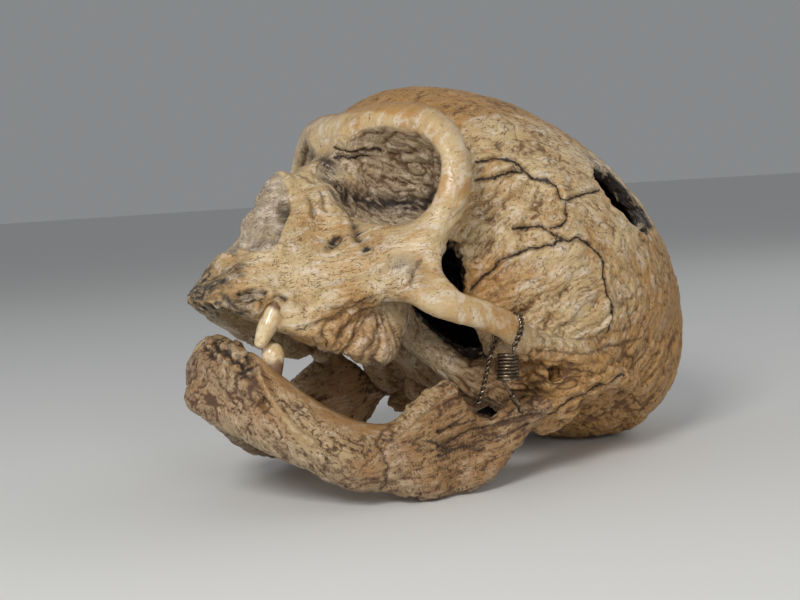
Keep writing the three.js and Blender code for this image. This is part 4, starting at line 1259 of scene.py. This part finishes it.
def twisted(path, radius, spread, pitch):
    """Paths of two strands wound round a path, each with its radius."""
    path = smooth_line(path, WIRE_STEPS)
    steps = np.linalg.norm(np.diff(path, axis=0), axis=1)
    run = np.concatenate(((0,), np.cumsum(steps)))
    ahead = headings(path)
    side = np.cross(ahead, (0.9, 0.1, 0.42))
    side /= np.linalg.norm(side, axis=1)[:, None]
    up = np.cross(ahead, side)
    made = []
    for lead in (0, 0.5):
        turn = 2 * math.pi * (run / pitch + lead)
        made.append((path + spread * turned(turn, side, up), radius))
    return made


def wound(start, end, radius, turns, lead=0.0):
    """Points of a coil about the line between two points."""
    a, b = np.array(start, float), np.array(end, float)
    way = unit(b - a)
    u = unit(np.cross((0, 1, 0), way))
    v = np.cross(way, u)
    t = np.linspace(0, 1, int(turns * COIL_STEPS) + 1)
    turn = 2 * math.pi * (turns * t + lead)
    return a + (b - a) * t[:, None] + radius * turned(turn, u, v)


def add_wires(name, strands):
    """One piece of several wires, each a path in mm and a radius."""
    points, faces, count = [], [], 0
    for path, radius in strands:
        one, own = tube(path, radius)
        points.append(one)
        faces.append(own + count)
        count += len(one)
    points = np.float32(np.concatenate(points))
    add_piece(name, stand(points), np.concatenate(faces), WIRE, {"place": points})


for side, word in ((1, "left"), (-1, "right")):
    def flip(points, jaw_end=False):
        points = np.array(points, float) * (1, side, 1)
        return on_jaw(points) if jaw_end else points

    over = flip((
        (33, 66.3, -12.5), (33, 66.5, -6), (33, 72.2, -0.6), (32.6, 78.9, -6.5),
        (30.6, 78.2, -15.4),
    ))
    barrel = wound((28.5, 73.7, -16.8), (22.4, 73.2, -25), 4, 7.5, 0.25) * (1, side, 1)
    tail = flip(((15.5, 69, -27.3), (9, 67, -27.8), (2, 61, -28.6)), True)
    lead = smooth_line(np.vstack((over[-1:], barrel[:1])), 6)
    hook = smooth_line(np.vstack((barrel[-1:], tail)), 12)
    strands = twisted(over, 0.6, 0.6, 5) + [(np.vstack((lead[:-1], barrel, hook[1:])), 0.62)]
    strands.append((wound(tail[0], tail[1], 1.1, 6), 0.3))
    add_wires(f"spring_rear_{word}", strands)
    front = np.vstack((
        flip(((30, 63, -8), (28.5, 62, -15))), flip(((19, 56, -32), (18, 54.5, -36)), True),
    ))
    add_wires(f"spring_front_{word}", twisted(front, 0.5, 0.6, 5))

# --- The floor, the lights and the camera ----------------------------------------
# A plain pale table under a soft studio lamp at the front left, with weaker ones to
# fill the shadows. The camera looks up a little at the skull's left cheek.

FLOOR = 30.0  # half its width, in metres
FLOOR_DROP = 0.0002  # keeps it clear of the flats that the skull rests on


def table_material():
    material, n, shader = new_material("pale_table")
    clouds = n.noise(n.add("TexCoord", "Object"), 6.0)
    n.put(shader["Base Color"], n.mix(clouds, (0.8, 0.8, 0.78, 1), (0.775, 0.775, 0.757, 1)))
    shader["Roughness"].default_value = 0.7
    return material


corners = ((-FLOOR, -FLOOR, 0), (FLOOR, -FLOOR, 0), (FLOOR, FLOOR, 0), (-FLOOR, FLOOR, 0))
floor_mesh = bpy.data.meshes.new("floor")
floor_mesh.from_pydata(corners, [], [(0, 1, 2, 3)])
floor_mesh.materials.append(table_material())
floor = new_object("floor", floor_mesh)
floor.location.z = -FLOOR_DROP

SHOWN = Vector((0, 0, 0.085))
for name, place, size, power, colour in (
    ("key", (0.55, -0.75, 0.65), 0.3, 6.3, (1, 0.98, 0.95)),
    ("fill", (-0.9, -0.9, 0.5), 1.2, 2.0, (0.95, 0.97, 1)),
    ("front", (0.9, -0.3, 0.35), 0.3, 1.7, (1, 0.99, 0.97)),
    ("rim", (0.1, 1.1, 0.9), 0.9, 2.6, (1, 1, 1)),
):
    lamp = bpy.data.lights.new(name, "AREA")
    lamp.energy, lamp.size, lamp.color = power, size, colour
    light = new_object(name, lamp)
    light.location = place
    light.rotation_euler = (SHOWN - light.location).to_track_quat("-Z", "Y").to_euler()

world = bpy.data.worlds.new("studio")
world.use_nodes = True
world.node_tree.nodes["Background"].inputs["Color"].default_value = (0.86, 0.89, 0.92, 1)
world.node_tree.nodes["Background"].inputs["Strength"].default_value = 0.28
bpy.context.scene.world = world

VIEW_FROM = Vector((297.2, 462.4, -177.0))  # in the skull's axes, as the two directions are
VIEW_RIGHT = Vector((-0.67466364, 0.55585605, 0.48564702))
VIEW_DOWN = Vector((-0.57915977, 0.00925192, -0.81516155))
turn = SET_DOWN.to_3x3().normalized()
right, up = turn @ VIEW_RIGHT, turn @ -VIEW_DOWN
back = right.cross(up)
camera = new_object("camera", bpy.data.cameras.new("camera"))
camera.data.lens = 56.2
camera.data.clip_start = 0.01
camera.matrix_world = Matrix.LocRotScale(
    SET_DOWN @ VIEW_FROM, Matrix((right, up, back)).transposed().to_quaternion(), None
)
bpy.context.scene.camera = camera
bpy.context.scene.view_settings.view_transform = "Standard"
